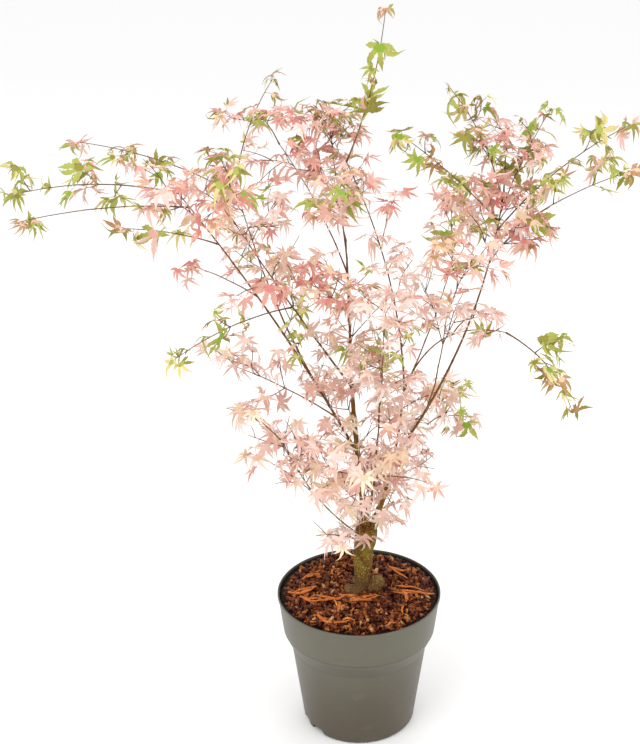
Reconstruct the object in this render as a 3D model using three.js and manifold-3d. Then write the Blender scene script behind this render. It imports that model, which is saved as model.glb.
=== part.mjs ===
/*
 * Potted Japanese maple, in millimetres, Z up.
 * The origin is the centre of the flat underside of the pot; +X is to the right of the wide side of the
 * crown and +Y runs to its back. Every woody piece is a tapering tube bent along one curve, and every
 * mass of foliage grows from one stem by the same seeded rule: nodes along the stem carry opposite pairs
 * of twigs or leaves, each pair turned a quarter from the last.
 */
import * as THREE from "three";
import { mergeVertices } from "three/addons/utils/BufferGeometryUtils.js";
import Module from "manifold-3d";

const wasm = await Module();
wasm.setup();

// ---------------------------------------------------------------- driving dimensions

const CLEARANCE = 0.3; // between pieces that touch in the real plant

const POT = {
  height: 169,
  footRadius: 66,
  footRounding: 5,
  shoulderHeight: 103, // the wall steps out here to the rim band
  shoulderRadius: 79.5,
  bandHeight: 46, // from the band's lower edge to the lip
  bandRadius: 88.8,
  lipRadius: 95,
  lipDrop: 4,
  lipTurn: 0.85, // share of the way from the band's radius to the lip's at the foot of the lip
  wall: 1.7,
  sides: 36,
  drains: [200, 222, 20, 42], // bearings of the notches under the edge of the foot
  drainWidth: 13,
  drainHeight: 4.5,
  drainDepth: 12,
};

const SOIL = { level: 159, crown: 4, seatRadius: 27, rings: 3 };

const TRUNK = {
  foot: [5, 0],
  fork: [10, 0, 257],
  footRadius: 9.5,
  waistRadius: 10,
  forkRadius: 12.5,
  waistShare: 0.2, // of the trunk's length, as the next two are
  swell: [0.3, 0.9], // where it widens towards the fork
  flareHeight: 0.3, // where the root lobes have died away
  flare: 0.95, // how far the root lobes stand out, as a share of the foot radius
  lobes: [202, 338, 85], // bearings of the root lobes
  lobeSharpness: 6,
  topInset: 0.8, // the rim of the top is drawn in to this share
  sides: 14,
  steps: 9,
};

const LIMB = { sides: 6, stepLength: 60 };

const STEM = { radius: 1.7, tipRadius: 1.35, sides: 4, sink: 2.2, step: 60 };

const TWIG = { radius: 1.15, sides: 3, rootStop: 0.2 };

const LEAF = {
  blade: 29, // from the petiole to the tip of the middle lobe
  petiole: 12,
  root: 0.45, // how far the petiole's foot is sunk past the middle of its twig
  thickness: 1.8,
  lobes: [
    [-104, 0.58],
    [-50, 0.88],
    [0, 1],
    [50, 0.88],
    [104, 0.58],
  ],
  notch: 0.29,
  shoulder: [150, 0.18],
  cup: 0.16, // how far the lobe tips hang below the middle of the blade
};

const GROWTH = {
  firstNode: 0.55, // of the node spacing, from the foot of the stem
  spread: 52, // between a stem and what grows from its side
  spreadJitter: 16,
  twigLength: [18, 32],
  lift: 0.35, // how far a twig turns up towards the light
  fan: [0, 85, -85], // headings of the leaves at the end of a twig
  fanAt: 0.97, // share of the twig where they stand
  droop: [14, 48], // of a blade below the level
  upright: 0.35, // a petiole whose run along the level is under this share of its length
  lean: 0.6, // leans out by this share
  tries: 8,
  turn: 26, // a leaf is turned by up to this much more at each try
  aboveSoil: 12,
  slack: 9, // a leaf may pass the middle line between two masses by this much
  samples: 10,
  nodes: 2, // at least this many along a stem
  merge: 0.05, // slivers left by the joins are merged below this size
  seed: 1013,
};

// How a mass grows: the distance between nodes, the share of nodes with twigs, its leaves' size and colour.
const HABIT = {
  shoot: { node: 46, twigShare: 0.25, size: 0.86, colour: 0xa9a85c },
  spray: { node: 29, twigShare: 0.45, size: 1.06, colour: 0xe2b0a4 },
  blush: { node: 29, twigShare: 0.45, size: 1.06, colour: 0xe9bdb0 },
  peach: { node: 29, twigShare: 0.45, size: 1.06, colour: 0xefcfb4 },
};

const SAME_POINT = 1e-4; // corners closer than this are one corner
const TOUCH = 1e-6; // a common volume above this is a touch

const COLOUR = { pot: 0x6b675f, soil: 0x4a2c1a, bark: 0x6f6636, branch: 0x6b4a2c };

/*
 * Limbs, each one tapering tube. A tip is given by its bearing from the plant's axis (degrees
 * anticlockwise from +X), its reach from that axis and its height. A limb starts on its parent at a
 * share of the parent's length. bow lifts the middle of the limb and sway pushes it sideways, both as
 * shares of its length.
 */
const LIMBS = [
  // name, parent, at, bearing, reach, height, bow, sway, foot radius, tip radius
  ["stem_left", "trunk", 0.9, 135, 14, 461, 0, 0.02, 5.6, 3.2],
  ["stem_right", "trunk", 0.84, 353, 39, 345, -0.04, 0.05, 5.2, 3.6],
  ["stem_middle", "trunk", 0.92, 319, 30, 418, 0.02, 0.03, 3, 2],
  ["bough_left", "stem_left", 0.46, 195, 188, 662, 0.02, -0.03, 3.4, 1.6],
  ["bough_left_back", "bough_left", 0.29, 145, 166, 630, -0.01, 0.03, 2.4, 1.4],
  ["bough_left_front", "stem_left", 0.83, 228, 176, 655, 0.01, -0.03, 2.6, 1.4],
  ["bough_back", "stem_left", 1, 112, 75, 667, 0.02, -0.02, 2.9, 1.5],
  ["bough_front", "stem_left", 0.93, 261, 81, 622, -0.02, 0, 2.3, 1.4],
  ["bough_back_left", "bough_back", 0.42, 121, 176, 662, 0.05, 0, 1.8, 1.3],
  ["stem_inner", "stem_right", 0.93, 22, 54, 426, 0.02, -0.03, 2.8, 2.2],
  ["leader", "stem_inner", 1, 145, 17, 679, 0.05, 0, 2.2, 1.4],
  ["bough_right", "stem_right", 1, 352, 149, 655, -0.06, 0.02, 3.4, 1.7],
  ["bough_right_back", "stem_inner", 0.9, 50, 168, 530, -0.05, 0, 2, 1.3],
  ["bough_right_front", "bough_right", 0.2, 308, 140, 551, -0.06, 0, 2.1, 1.3],
  ["bough_arching", "stem_inner", 0.85, 326, 179, 531, 0.15, 0, 2, 1.3],
  ["bough_low_left", "trunk", 0.8, 217, 101, 390, -0.06, 0, 2, 1.3],
  ["bough_low_back", "bough_left", 0.14, 151, 163, 419, 0.03, 0, 1.9, 1.3],
  ["bough_low_front", "stem_middle", 0.35, 262, 105, 360, 0.04, 0, 1.9, 1.3],
  ["bough_low_right", "stem_inner", 0.45, 40, 105, 350, 0.1, 0, 1.9, 1.3],
  ["bough_middle_front", "stem_middle", 1, 281, 128, 540, -0.04, 0, 1.8, 1.3],
];

/*
 * Masses of foliage: where the stem starts (limb and share of its length), the tip (bearing, reach and
 * height as for limbs), the bow of the stem, the radius of the space round it, and its habit.
 */
const MASSES = [
  // name, limb, at, bearing, reach, height, bow, girth, habit
  ["spray_leader", "leader", 1, 37, 33, 829, -0.04, 46, "shoot"],
  ["spray_crown", "bough_back", 1, 111, 88, 706, 0, 62, "spray"],
  ["spray_centre", "bough_front", 1, 258, 104, 672, 0, 62, "spray"],
  ["spray_centre_low", "bough_front", 0.5, 249, 110, 577, 0, 56, "spray"],
  ["spray_heart", "leader", 0.6, 0, 30, 628, 0, 56, "spray"],
  ["shoot_left_upper", "bough_left_back", 1, 133, 137, 743, 0.06, 48, "shoot"],
  ["spray_back_left", "bough_back_left", 1, 123, 210, 692, 0.04, 62, "spray"],
  ["shoot_left_top", "bough_left_back", 0.94, 172, 295, 690, 0.05, 46, "shoot"],
  ["shoot_left_middle", "bough_left", 1, 188, 347, 659, 0.06, 48, "shoot"],
  ["shoot_left_low", "bough_left", 0.94, 199, 344, 650, 0.04, 46, "shoot"],
  ["spray_left_upper", "bough_left", 0.86, 203, 215, 673, 0.04, 56, "spray"],
  ["shoot_left_under", "bough_left", 0.8, 185, 243, 615, 0.04, 42, "shoot"],
  ["spray_left_small", "bough_left", 0.6, 174, 184, 562, 0.04, 36, "spray"],
  ["spray_left_front", "bough_left_front", 1, 232, 212, 684, 0.04, 62, "spray"],
  ["spray_left_front_low", "bough_left_front", 0.62, 234, 196, 592, 0.05, 60, "spray"],
  ["shoot_left_hanging", "bough_left_front", 0.5, 211, 212, 508, 0.06, 46, "shoot"],
  ["spray_left_inner", "bough_left_back", 0.45, 155, 85, 545, 0.05, 56, "spray"],
  ["spray_low_back", "bough_low_back", 1, 147, 206, 428, 0.05, 60, "peach"],
  ["spray_low_left", "bough_low_left", 1, 219, 148, 440, 0.03, 60, "peach"],
  ["spray_low_left_out", "bough_low_left", 0.5, 201, 120, 366, 0.05, 56, "peach"],
  ["spray_foot", "trunk", 0.7, 244, 61, 272, 0.06, 44, "peach"],
  ["spray_low_front", "bough_low_front", 1, 262, 145, 400, 0.04, 60, "peach"],
  ["spray_low_front_right", "bough_low_front", 0.4, 312, 106, 352, 0.08, 54, "peach"],
  ["spray_low_right", "bough_low_right", 1, 43, 150, 352, 0.05, 58, "blush"],
  ["spray_middle_front", "bough_middle_front", 1, 279, 164, 588, 0.03, 62, "blush"],
  ["spray_middle", "stem_middle", 0.85, 290, 66, 492, 0, 54, "blush"],
  ["spray_right_back", "bough_right_back", 1, 55, 184, 592, 0.03, 62, "spray"],
  ["spray_right_front", "bough_right_front", 1, 306, 178, 620, 0.03, 62, "spray"],
  ["shoot_arching", "bough_arching", 1, 331, 244, 458, 0.1, 50, "shoot"],
  ["spray_arching", "bough_arching", 0.6, 316, 180, 560, 0.08, 50, "peach"],
  ["spray_right", "bough_right", 0.76, 342, 185, 636, 0.05, 56, "spray"],
  ["spray_right_upper", "bough_right", 1, 10, 156, 708, 0.03, 62, "spray"],
  ["shoot_crossing", "bough_right", 0.9, 13, 43, 706, 0.03, 42, "shoot"],
  ["shoot_right_top", "bough_right", 0.96, 12, 95, 751, 0.08, 44, "shoot"],
  ["shoot_right_high", "bough_right", 0.93, 22, 222, 716, 0.05, 46, "shoot"],
  ["shoot_right_far", "bough_right", 0.87, 4, 280, 714, 0.06, 44, "shoot"],
  ["shoot_right_out", "bough_right", 0.82, 350, 272, 682, 0.05, 50, "shoot"],
];

// ---------------------------------------------------------------- small helpers

const UP = new THREE.Vector3(0, 0, 1);
const radians = THREE.MathUtils.degToRad;
const mix = THREE.MathUtils.lerp;

/** A repeatable stream of numbers from 0 to 1 (mulberry32). */
function seeded(seed) {
  let state = seed >>> 0;
  return () => {
    state = (state + 0x6d2b79f5) >>> 0;
    let t = Math.imul(state ^ (state >>> 15), state | 1);
    t = (t + Math.imul(t ^ (t >>> 7), t | 61)) ^ t;
    return ((t ^ (t >>> 14)) >>> 0) / 4294967296;
  };
}

/** A point at a bearing, reach and height. */
function polar(bearing, reach, height) {
  const angle = radians(bearing);
  return new THREE.Vector3(reach * Math.cos(angle), reach * Math.sin(angle), height);
}

/** The level direction square to a vector. */
function levelNormal(direction) {
  const level = new THREE.Vector3(-direction.y, direction.x, 0);
  return level.length() < 1e-6 ? new THREE.Vector3(1, 0, 0) : level.normalize();
}

/** A curve from foot to tip whose middle is lifted by bow and pushed sideways by sway. */
function bowed(foot, tip, bow, sway) {
  const chord = tip.clone().sub(foot);
  const side = levelNormal(chord);
  const lift = side.clone().cross(chord).negate().normalize();
  const middle = foot
    .clone()
    .lerp(tip, 0.5)
    .addScaledVector(lift, 2 * bow * chord.length())
    .addScaledVector(side, 2 * sway * chord.length());
  return new THREE.QuadraticBezierCurve3(foot, middle, tip);
}

/** A geometry's closed surface as a solid for joining and cutting. */
function solidOf(geometry) {
  const bare = new THREE.BufferGeometry()
    .setAttribute("position", geometry.getAttribute("position"))
    .setIndex(geometry.index);
  const merged = mergeVertices(bare, SAME_POINT);
  const corners = merged.index.array;
  const kept = [];
  for (let i = 0; i < corners.length; i += 3) {
    const [a, b, c] = corners.slice(i, i + 3);
    if (a !== b && b !== c && c !== a) kept.push(a, b, c);
  }
  const vertProperties = merged.getAttribute("position").array;
  return new wasm.Manifold(new wasm.Mesh({ numProp: 3, vertProperties, triVerts: new Uint32Array(kept) }));
}

/** The largest body of a solid. */
function largest(solid) {
  const bodies = solid.decompose();
  return bodies.reduce((best, body) => (body.volume() > best.volume() ? body : best));
}

/** A named mesh in one plain colour. */
function meshOf(name, solid, colour, roughness = 0.8) {
  const made = solid.getMesh();
  const geometry = new THREE.BufferGeometry()
    .setAttribute("position", new THREE.BufferAttribute(new Float32Array(made.vertProperties), 3))
    .setIndex(new THREE.BufferAttribute(new Uint32Array(made.triVerts), 1));
  const faceted = geometry.toNonIndexed();
  faceted.computeVertexNormals();
  const material = new THREE.MeshStandardMaterial({ color: colour, roughness, metalness: 0 });
  const mesh = new THREE.Mesh(faceted, material);
  mesh.name = name;
  return mesh;
}

/** A cylinder bent along a curve; grow swells it all round and lengthens it at both ends. */
function bentTube(curve, radiusAt, sides, steps, grow = 0) {
  const geometry = new THREE.CylinderGeometry(1, 1, 1, sides, steps);
  const place = geometry.getAttribute("position");
  const point = new THREE.Vector3();
  const across = levelNormal(curve.getTangent(0.5));
  for (let i = 0; i < place.count; i += 1) {
    point.fromBufferAttribute(place, i);
    const share = THREE.MathUtils.clamp(point.y + 0.5, 0, 1);
    const along = curve.getTangent(share);
    const normal = across.clone().cross(along).normalize();
    const side = along.clone().cross(normal);
    const isMiddle = Math.hypot(point.x, point.z) < 0.5; // an end's middle joins its rim, with fewer faces
    const turn = isMiddle ? Math.PI / 2 : Math.atan2(point.z, point.x);
    const out = radiusAt(share, turn) + grow;
    const end = share === 0 ? -grow : share === 1 ? grow : 0;
    const at = curve
      .getPoint(share)
      .addScaledVector(along, end)
      .addScaledVector(side, out * Math.cos(turn))
      .addScaledVector(normal, out * Math.sin(turn));
    place.setXYZ(i, at.x, at.y, at.z);
  }
  return solidOf(geometry);
}

// ---------------------------------------------------------------- pot and soil

/** The outer line of the pot wall from the foot to the lip, moved inwards by inset. */
function wallLine(inset) {
  const corner = POT.footRounding * (1 - Math.SQRT1_2);
  const raise = 0.4 * inset; // the steps of the wall keep its thickness when they are moved in and up
  return [
    [POT.footRadius - POT.footRounding, inset],
    [POT.footRadius - corner - inset, corner + Math.SQRT1_2 * inset],
    [POT.footRadius - inset, POT.footRounding + raise],
    [POT.shoulderRadius - inset, POT.shoulderHeight + raise],
    [POT.bandRadius - inset, POT.height - POT.bandHeight + raise],
    [mix(POT.bandRadius, POT.lipRadius, POT.lipTurn) - inset, POT.height - POT.lipDrop],
  ];
}

/** The solid that a profile of [radius, height] pairs makes when it is turned round the upright axis. */
function turned(profile) {
  const line = profile.map(([radius, height]) => new THREE.Vector2(radius, height));
  return solidOf(new THREE.LatheGeometry(line, POT.sides).rotateX(Math.PI / 2));
}

function makePot() {
  const outside = wallLine(0);
  const inside = wallLine(POT.wall);
  const bead = POT.wall / 2;
  const lip = [
    [POT.lipRadius, POT.height - POT.lipDrop + bead],
    [POT.lipRadius, POT.height - bead],
    [POT.lipRadius - bead, POT.height],
    [POT.lipRadius - POT.wall, POT.height],
  ];
  let pot = turned([[0, 0], ...outside, ...lip, ...inside.reverse(), [0, POT.wall]]);
  for (const bearing of POT.drains) {
    const drain = new THREE.BoxGeometry(POT.drainDepth, POT.drainWidth, 2 * POT.drainHeight);
    drain.translate(POT.footRadius - POT.wall, 0, 0);
    drain.rotateZ(radians(bearing));
    pot = pot.subtract(solidOf(drain));
  }
  return pot;
}

function makeSoil() {
  const inside = wallLine(POT.wall + CLEARANCE);
  const floor = POT.wall + CLEARANCE;
  const side = inside.filter(([, height]) => height < SOIL.level);
  const [bandRadius, bandHeight] = side[side.length - 1];
  const [lipRadius, lipHeight] = inside[inside.length - 1];
  const edge = mix(bandRadius, lipRadius, (SOIL.level - bandHeight) / (lipHeight - bandHeight));
  const profile = [[0, floor], ...side.map(([r, h]) => [r, Math.max(h, floor)]), [edge, SOIL.level]];
  for (let ring = 1; ring < SOIL.rings; ring += 1) {
    const share = ring / SOIL.rings;
    const rise = SOIL.crown * Math.sin((share * Math.PI) / 2);
    profile.push([mix(edge, SOIL.seatRadius, share), SOIL.level + rise]);
  }
  const seat = SOIL.level + SOIL.crown;
  return turned([...profile, [SOIL.seatRadius, seat], [0, seat]]);
}

// ---------------------------------------------------------------- trunk and limbs

function trunkCurve() {
  const foot = new THREE.Vector3(...TRUNK.foot, SOIL.level + SOIL.crown + CLEARANCE);
  const tip = new THREE.Vector3(...TRUNK.fork);
  const middle = new THREE.Vector3(foot.x, foot.y, mix(foot.z, tip.z, 0.5));
  return new THREE.QuadraticBezierCurve3(foot, middle, tip);
}

/** The trunk's radius: waisted above the root lobes, and swollen again at the fork. */
function trunkRadius(share, turn) {
  const wide = THREE.MathUtils.smoothstep(share, ...TRUNK.swell);
  const upper = mix(TRUNK.waistRadius, TRUNK.forkRadius, wide);
  const shaft = mix(TRUNK.footRadius, upper, Math.min(1, share / TRUNK.waistShare));
  const fade = Math.max(0, 1 - share / TRUNK.flareHeight) ** 2;
  const lobe = TRUNK.lobes.reduce(
    (sum, bearing) => sum + Math.max(0, Math.sin(turn + radians(bearing))) ** TRUNK.lobeSharpness,
    0,
  );
  const rim = share === 1 ? TRUNK.topInset : 1;
  return rim * shaft * (1 + TRUNK.flare * fade * lobe);
}

/** A limb as its curve, its radii and the solid for its own body or, grown, for cutting others. */
class Limb {
  constructor(name, curve, footRadius, tipRadius) {
    this.name = name;
    this.curve = curve;
    this.footRadius = footRadius;
    this.tipRadius = tipRadius;
  }

  radius(share) {
    return mix(this.footRadius, this.tipRadius, share);
  }

  body(grow = 0) {
    const steps = Math.max(2, Math.round(this.curve.getLength() / LIMB.stepLength));
    return bentTube(this.curve, (share) => this.radius(share), LIMB.sides, steps, grow);
  }
}

class Trunk extends Limb {
  body(grow = 0) {
    return bentTube(this.curve, trunkRadius, TRUNK.sides, TRUNK.steps, grow);
  }
}

function growLimbs() {
  const limbs = new Map();
  limbs.set("trunk", new Trunk("trunk", trunkCurve(), TRUNK.footRadius, TRUNK.forkRadius));
  for (const [name, parent, at, bearing, reach, height, bow, sway, foot, tip] of LIMBS) {
    const carrier = limbs.get(parent).curve;
    const start = carrier.getPoint(at);
    if (at === 1) start.addScaledVector(carrier.getTangent(1), -STEM.sink);
    limbs.set(name, new Limb(name, bowed(start, polar(bearing, reach, height), bow, sway), foot, tip));
  }
  return limbs;
}

/** Each limb's solid, its foot cut to the faces of the limbs that were there before it. */
function cutLimbs(limbs) {
  const done = [];
  for (const limb of limbs.values()) {
    let solid = limb.body();
    for (const earlier of done) {
      if (meets(solid, earlier.swollen)) solid = solid.subtract(earlier.swollen);
    }
    limb.solid = largest(solid);
    limb.swollen = limb.body(CLEARANCE / Math.cos(Math.PI / LIMB.sides));
    done.push(limb);
  }
}

// ---------------------------------------------------------------- tests of room

/** Whether the boxes of two solids come within a margin of each other. */
function near(a, b, margin) {
  const p = a.boundingBox();
  const q = b.boundingBox();
  return [0, 1, 2].every((i) => p.min[i] < q.max[i] + margin && q.min[i] < p.max[i] + margin);
}

function meets(a, b) {
  return near(a, b, 0) && a.intersect(b).volume() > TOUCH;
}

/** Whether a solid keeps the clearance from every solid of a list. */
function clearOf(solid, others) {
  const far = 3 * CLEARANCE;
  return others.every((other) => !near(solid, other, far) || solid.minGap(other, far) > CLEARANCE);
}

function distanceTo(point, samples) {
  return Math.min(...samples.map((at) => point.distanceTo(at)));
}

// ---------------------------------------------------------------- foliage

/** One leaf: the points of its blade's outline, the end and the foot of its petiole, and its upright. */
function leafOutline(root, out, level, down, size) {
  const blade = size * LEAF.blade;
  const joint = root.clone().addScaledVector(out, size * LEAF.petiole);
  const forward = out
    .clone()
    .multiplyScalar(Math.cos(down))
    .addScaledVector(UP, -Math.sin(down))
    .normalize();
  const normal = level.clone().cross(forward).normalize();
  if (normal.z < 0) normal.negate();
  const at = (angle, reach) => {
    const turn = radians(angle);
    return joint
      .clone()
      .addScaledVector(forward, blade * reach * Math.cos(turn))
      .addScaledVector(level, blade * reach * Math.sin(turn))
      .addScaledVector(normal, -blade * LEAF.cup * reach * reach);
  };
  const [shoulderAngle, shoulderReach] = LEAF.shoulder;
  const edge = [at(-shoulderAngle, shoulderReach)];
  LEAF.lobes.forEach(([angle, reach], i) => {
    if (i) edge.push(at((angle + LEAF.lobes[i - 1][0]) / 2, LEAF.notch));
    edge.push(at(angle, reach));
  });
  edge.push(at(shoulderAngle, shoulderReach));
  return { joint, normal, edge, root: root.clone().addScaledVector(out, -LEAF.root) };
}

/** A closed fan of triangles over a line of points, from one point above the petiole's end and one below. */
function fanSolid({ joint, normal }, line) {
  const ends = [1, -1].map((side) => joint.clone().addScaledVector(normal, (side * LEAF.thickness) / 2));
  const faces = line.flatMap((_, i) => {
    const next = (i + 1) % line.length;
    return [i, next, line.length, next, i, line.length + 1];
  });
  const geometry = new THREE.BufferGeometry().setFromPoints([...line, ...ends]).setIndex(faces);
  const solid = solidOf(geometry);
  return solid.volume() > 0 ? solid : solidOf(geometry.setIndex(faces.reverse()));
}

class Mass {
  constructor(row, seed, limbs) {
    const [name, limb, at, bearing, reach, height, bow, girth, habit] = row;
    const carrier = limbs.get(limb).curve;
    const start = carrier.getPoint(at);
    if (at === 1) start.addScaledVector(carrier.getTangent(1), -STEM.sink);
    this.name = name;
    this.girth = girth;
    this.habit = HABIT[habit];
    this.curve = bowed(start, polar(bearing, reach, height), bow, 0);
    this.steps = Math.max(1, Math.round(this.curve.getLength() / STEM.step));
    this.samples = this.curve.getPoints(GROWTH.samples);
    this.draw = seeded(seed);
    this.blades = [];
    this.wood = [];
    this.leaves = [];
  }

  /** Whether points lie in this mass's own space, between it and the others. */
  holds(points, masses) {
    return points.every((point) => {
      const own = distanceTo(point, this.samples);
      if (own > this.girth || point.z < SOIL.level + GROWTH.aboveSoil) return false;
      return masses.every(
        (other) => other === this || distanceTo(point, other.samples) > own - GROWTH.slack,
      );
    });
  }

  /** A side direction at a share of a curve, turned by roll round it and leaning forward. */
  sideways(curve, share, roll, spread) {
    const along = curve.getTangent(share);
    const across = levelNormal(along);
    const over = along.clone().cross(across);
    return along
      .multiplyScalar(Math.cos(spread))
      .addScaledVector(across, Math.sin(spread) * Math.cos(roll))
      .addScaledVector(over, Math.sin(spread) * Math.sin(roll))
      .normalize();
  }

  /** Adds a leaf at a root point in about a direction, in the first turn that has room. */
  leaf(root, direction, masses, blocked) {
    for (let turn = 0; turn < GROWTH.tries; turn += 1) {
      const yaw = radians(mix(-1, 1, this.draw()) * GROWTH.turn * turn);
      const down = radians(mix(...GROWTH.droop, this.draw()));
      const out = direction.clone().applyAxisAngle(UP, yaw);
      if (Math.hypot(out.x, out.y) < GROWTH.upright) {
        out.addScaledVector(polar(360 * this.draw(), 1, 0), GROWTH.lean);
      }
      out.normalize();
      const level = levelNormal(out);
      const outline = leafOutline(root, out, level, down, this.habit.size);
      if (!this.holds(outline.edge, masses)) continue;
      const blade = fanSolid(outline, outline.edge);
      if ([...this.blades, ...this.wood].some((other) => meets(blade, other))) continue;
      const solid = fanSolid(outline, [...outline.edge, outline.root]);
      if (this.leaves.some((other, i) => meets(solid, this.blades[i]))) continue;
      if (!clearOf(solid, blocked)) continue;
      this.blades.push(blade);
      this.leaves.push(solid);
      return true;
    }
    return false;
  }

  /** Adds a twig with three leaves at its end, if it has room, and says whether it grew. */
  twig(root, direction, masses, blocked) {
    const length = mix(...GROWTH.twigLength, this.draw());
    const heading = direction.clone().addScaledVector(UP, GROWTH.lift).normalize();
    const tip = root.clone().addScaledVector(heading, length);
    if (!this.holds([tip], masses)) return false;
    const curve = new THREE.LineCurve3(root.clone().addScaledVector(heading, TWIG.rootStop), tip);
    const solid = bentTube(curve, () => TWIG.radius, TWIG.sides, 1);
    if (!clearOf(solid, blocked)) return false;
    this.wood.push(solid);
    this.fan(curve, masses, blocked);
    return true;
  }

  /** The three leaves at the end of a twig or stem. */
  fan(curve, masses, blocked) {
    const end = curve.getPoint(GROWTH.fanAt);
    const along = curve.getTangent(1);
    for (const yaw of GROWTH.fan) {
      this.leaf(end, along.clone().applyAxisAngle(UP, radians(yaw)), masses, blocked);
    }
  }

  /** The middle of the stem's solid, which runs straight from step to step, at a share of its length. */
  middle(share) {
    const step = Math.min(Math.floor(share * this.steps), this.steps - 1);
    const from = this.curve.getPoint(step / this.steps);
    return from.lerp(this.curve.getPoint((step + 1) / this.steps), share * this.steps - step);
  }

  /** The mass's own stem, cut clear of the limb that carries it. */
  makeStem(carriers) {
    const radiusAt = (share) => mix(STEM.radius, STEM.tipRadius, share);
    let stem = bentTube(this.curve, radiusAt, STEM.sides, this.steps);
    for (const limb of carriers) if (meets(stem, limb)) stem = stem.subtract(limb);
    this.stem = largest(stem);
    this.wood.push(this.stem);
  }

  grow(masses, blocked) {
    const nodes = Math.max(GROWTH.nodes, Math.round(this.curve.getLength() / this.habit.node));
    const firstRoll = 2 * Math.PI * this.draw();
    this.fan(this.curve, masses, blocked);
    for (let node = 0; node < nodes; node += 1) {
      const share = (node + GROWTH.firstNode) / nodes;
      const root = this.middle(share);
      for (const half of [0, 1]) {
        const roll = firstRoll + (Math.PI / 2) * node + Math.PI * half;
        const spread = radians(GROWTH.spread + GROWTH.spreadJitter * mix(-1, 1, this.draw()));
        const direction = this.sideways(this.curve, share, roll, spread);
        const wantsTwig = this.draw() < this.habit.twigShare;
        if (wantsTwig && this.twig(root, direction, masses, blocked)) continue;
        this.leaf(root, direction, masses, blocked);
      }
    }
    return largest(wasm.Manifold.union([...this.wood, ...this.leaves])).simplify(GROWTH.merge);
  }
}

// ---------------------------------------------------------------- the whole plant

const plant = new THREE.Group();
const limbs = growLimbs();
cutLimbs(limbs);
const pot = makePot();
const soil = makeSoil();
plant.add(meshOf("pot", pot, COLOUR.pot, 0.55), meshOf("soil", soil, COLOUR.soil, 0.95));
for (const limb of limbs.values()) {
  plant.add(meshOf(limb.name, limb.solid, limb.name === "trunk" ? COLOUR.bark : COLOUR.branch));
}

const carriers = [...limbs.values()].map((limb) => limb.swollen);
const masses = MASSES.map((row, i) => new Mass(row, GROWTH.seed * (i + 1), limbs));
const fixed = [pot, ...[...limbs.values()].map((limb) => limb.solid)];
for (const mass of masses) mass.makeStem(carriers);
for (const mass of masses) {
  const others = masses.filter((other) => other !== mass).map((other) => other.solid ?? other.stem);
  mass.solid = mass.grow(masses, [...fixed, ...others]);
  plant.add(meshOf(mass.name, mass.solid, mass.habit.colour));
}

export default plant;
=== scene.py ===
"""Looks of a young Japanese maple in a nursery pot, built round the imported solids.

The frame is that of the solids: the origin is the centre of the pot's flat underside, +Z is up, +X runs
along the wide side of the crown and +Y to its back. Sizes are in millimetres, and MM turns them into metres
where a mesh is made. Shader graphs, the camera and the lights work in metres.

Every woody piece is a tube along a bowed path. The foliage grows from one stem for each mass by a seeded
rule: nodes along the stem carry opposite pairs of twigs or leaves, each pair turned a quarter from the
last, and the twigs carry pairs in the same way.
"""

import logging  # noqa: E402
import math  # noqa: E402
from dataclasses import dataclass, field  # noqa: E402
from enum import Enum  # noqa: E402
from itertools import combinations, product  # noqa: E402
from typing import Any, Sequence  # noqa: E402

import bpy  # noqa: E402
import numpy as np  # noqa: E402
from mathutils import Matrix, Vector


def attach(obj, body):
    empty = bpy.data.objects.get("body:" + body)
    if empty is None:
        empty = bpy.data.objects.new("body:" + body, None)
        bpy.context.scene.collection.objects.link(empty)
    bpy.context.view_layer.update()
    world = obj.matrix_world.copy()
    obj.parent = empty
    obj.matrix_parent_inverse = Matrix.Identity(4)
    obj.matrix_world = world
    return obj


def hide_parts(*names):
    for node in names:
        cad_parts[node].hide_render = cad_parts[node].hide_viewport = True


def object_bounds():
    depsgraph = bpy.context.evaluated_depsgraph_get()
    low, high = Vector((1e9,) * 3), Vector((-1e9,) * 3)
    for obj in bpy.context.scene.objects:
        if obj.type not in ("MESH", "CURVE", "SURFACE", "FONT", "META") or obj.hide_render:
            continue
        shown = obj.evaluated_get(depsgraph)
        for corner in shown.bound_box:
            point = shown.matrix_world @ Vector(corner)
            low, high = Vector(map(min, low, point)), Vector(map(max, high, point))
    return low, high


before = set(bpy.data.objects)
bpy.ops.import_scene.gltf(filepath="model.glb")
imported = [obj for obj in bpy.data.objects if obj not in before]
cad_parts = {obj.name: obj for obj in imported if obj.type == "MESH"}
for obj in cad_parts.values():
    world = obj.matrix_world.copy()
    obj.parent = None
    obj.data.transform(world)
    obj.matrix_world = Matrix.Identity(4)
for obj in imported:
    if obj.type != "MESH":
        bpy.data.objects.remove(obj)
CAD_LOW, CAD_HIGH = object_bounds()

Array = np.ndarray
Material = bpy.types.Material
Pair = tuple[float, float]
Triple = tuple[float, float, float]
Shade = tuple[int, int, int]
MM = 0.001
BODY = "root"
UP = np.array([0.0, 0.0, 1.0])
log = logging.getLogger("maple")


# ---- small maths


def unit(vectors: Array) -> Array:
    """Vectors of length one, along the last axis."""
    return vectors / np.maximum(np.linalg.norm(vectors, axis=-1, keepdims=True), 1e-12)


def level_normal(direction: Array) -> Array:
    """The level direction square to a vector: its level part turned a quarter."""
    level = np.array([-direction[1], direction[0], 0.0])
    return unit(level) if np.linalg.norm(level) > 1e-9 else np.array([1.0, 0.0, 0.0])


def polar(bearing: float, reach: float, height: float) -> Array:
    """A point at a bearing in degrees anticlockwise from +X, a reach from the axis and a height."""
    angle = math.radians(bearing)
    return np.array([reach * math.cos(angle), reach * math.sin(angle), height])


def smooth(values: Array, low: float, high: float) -> Array:
    """A soft step from 0 at low to 1 at high: 3t squared minus 2t cubed."""
    t = np.clip((values - low) / (high - low), 0.0, 1.0)
    return t * t * (3 - 2 * t)


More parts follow.
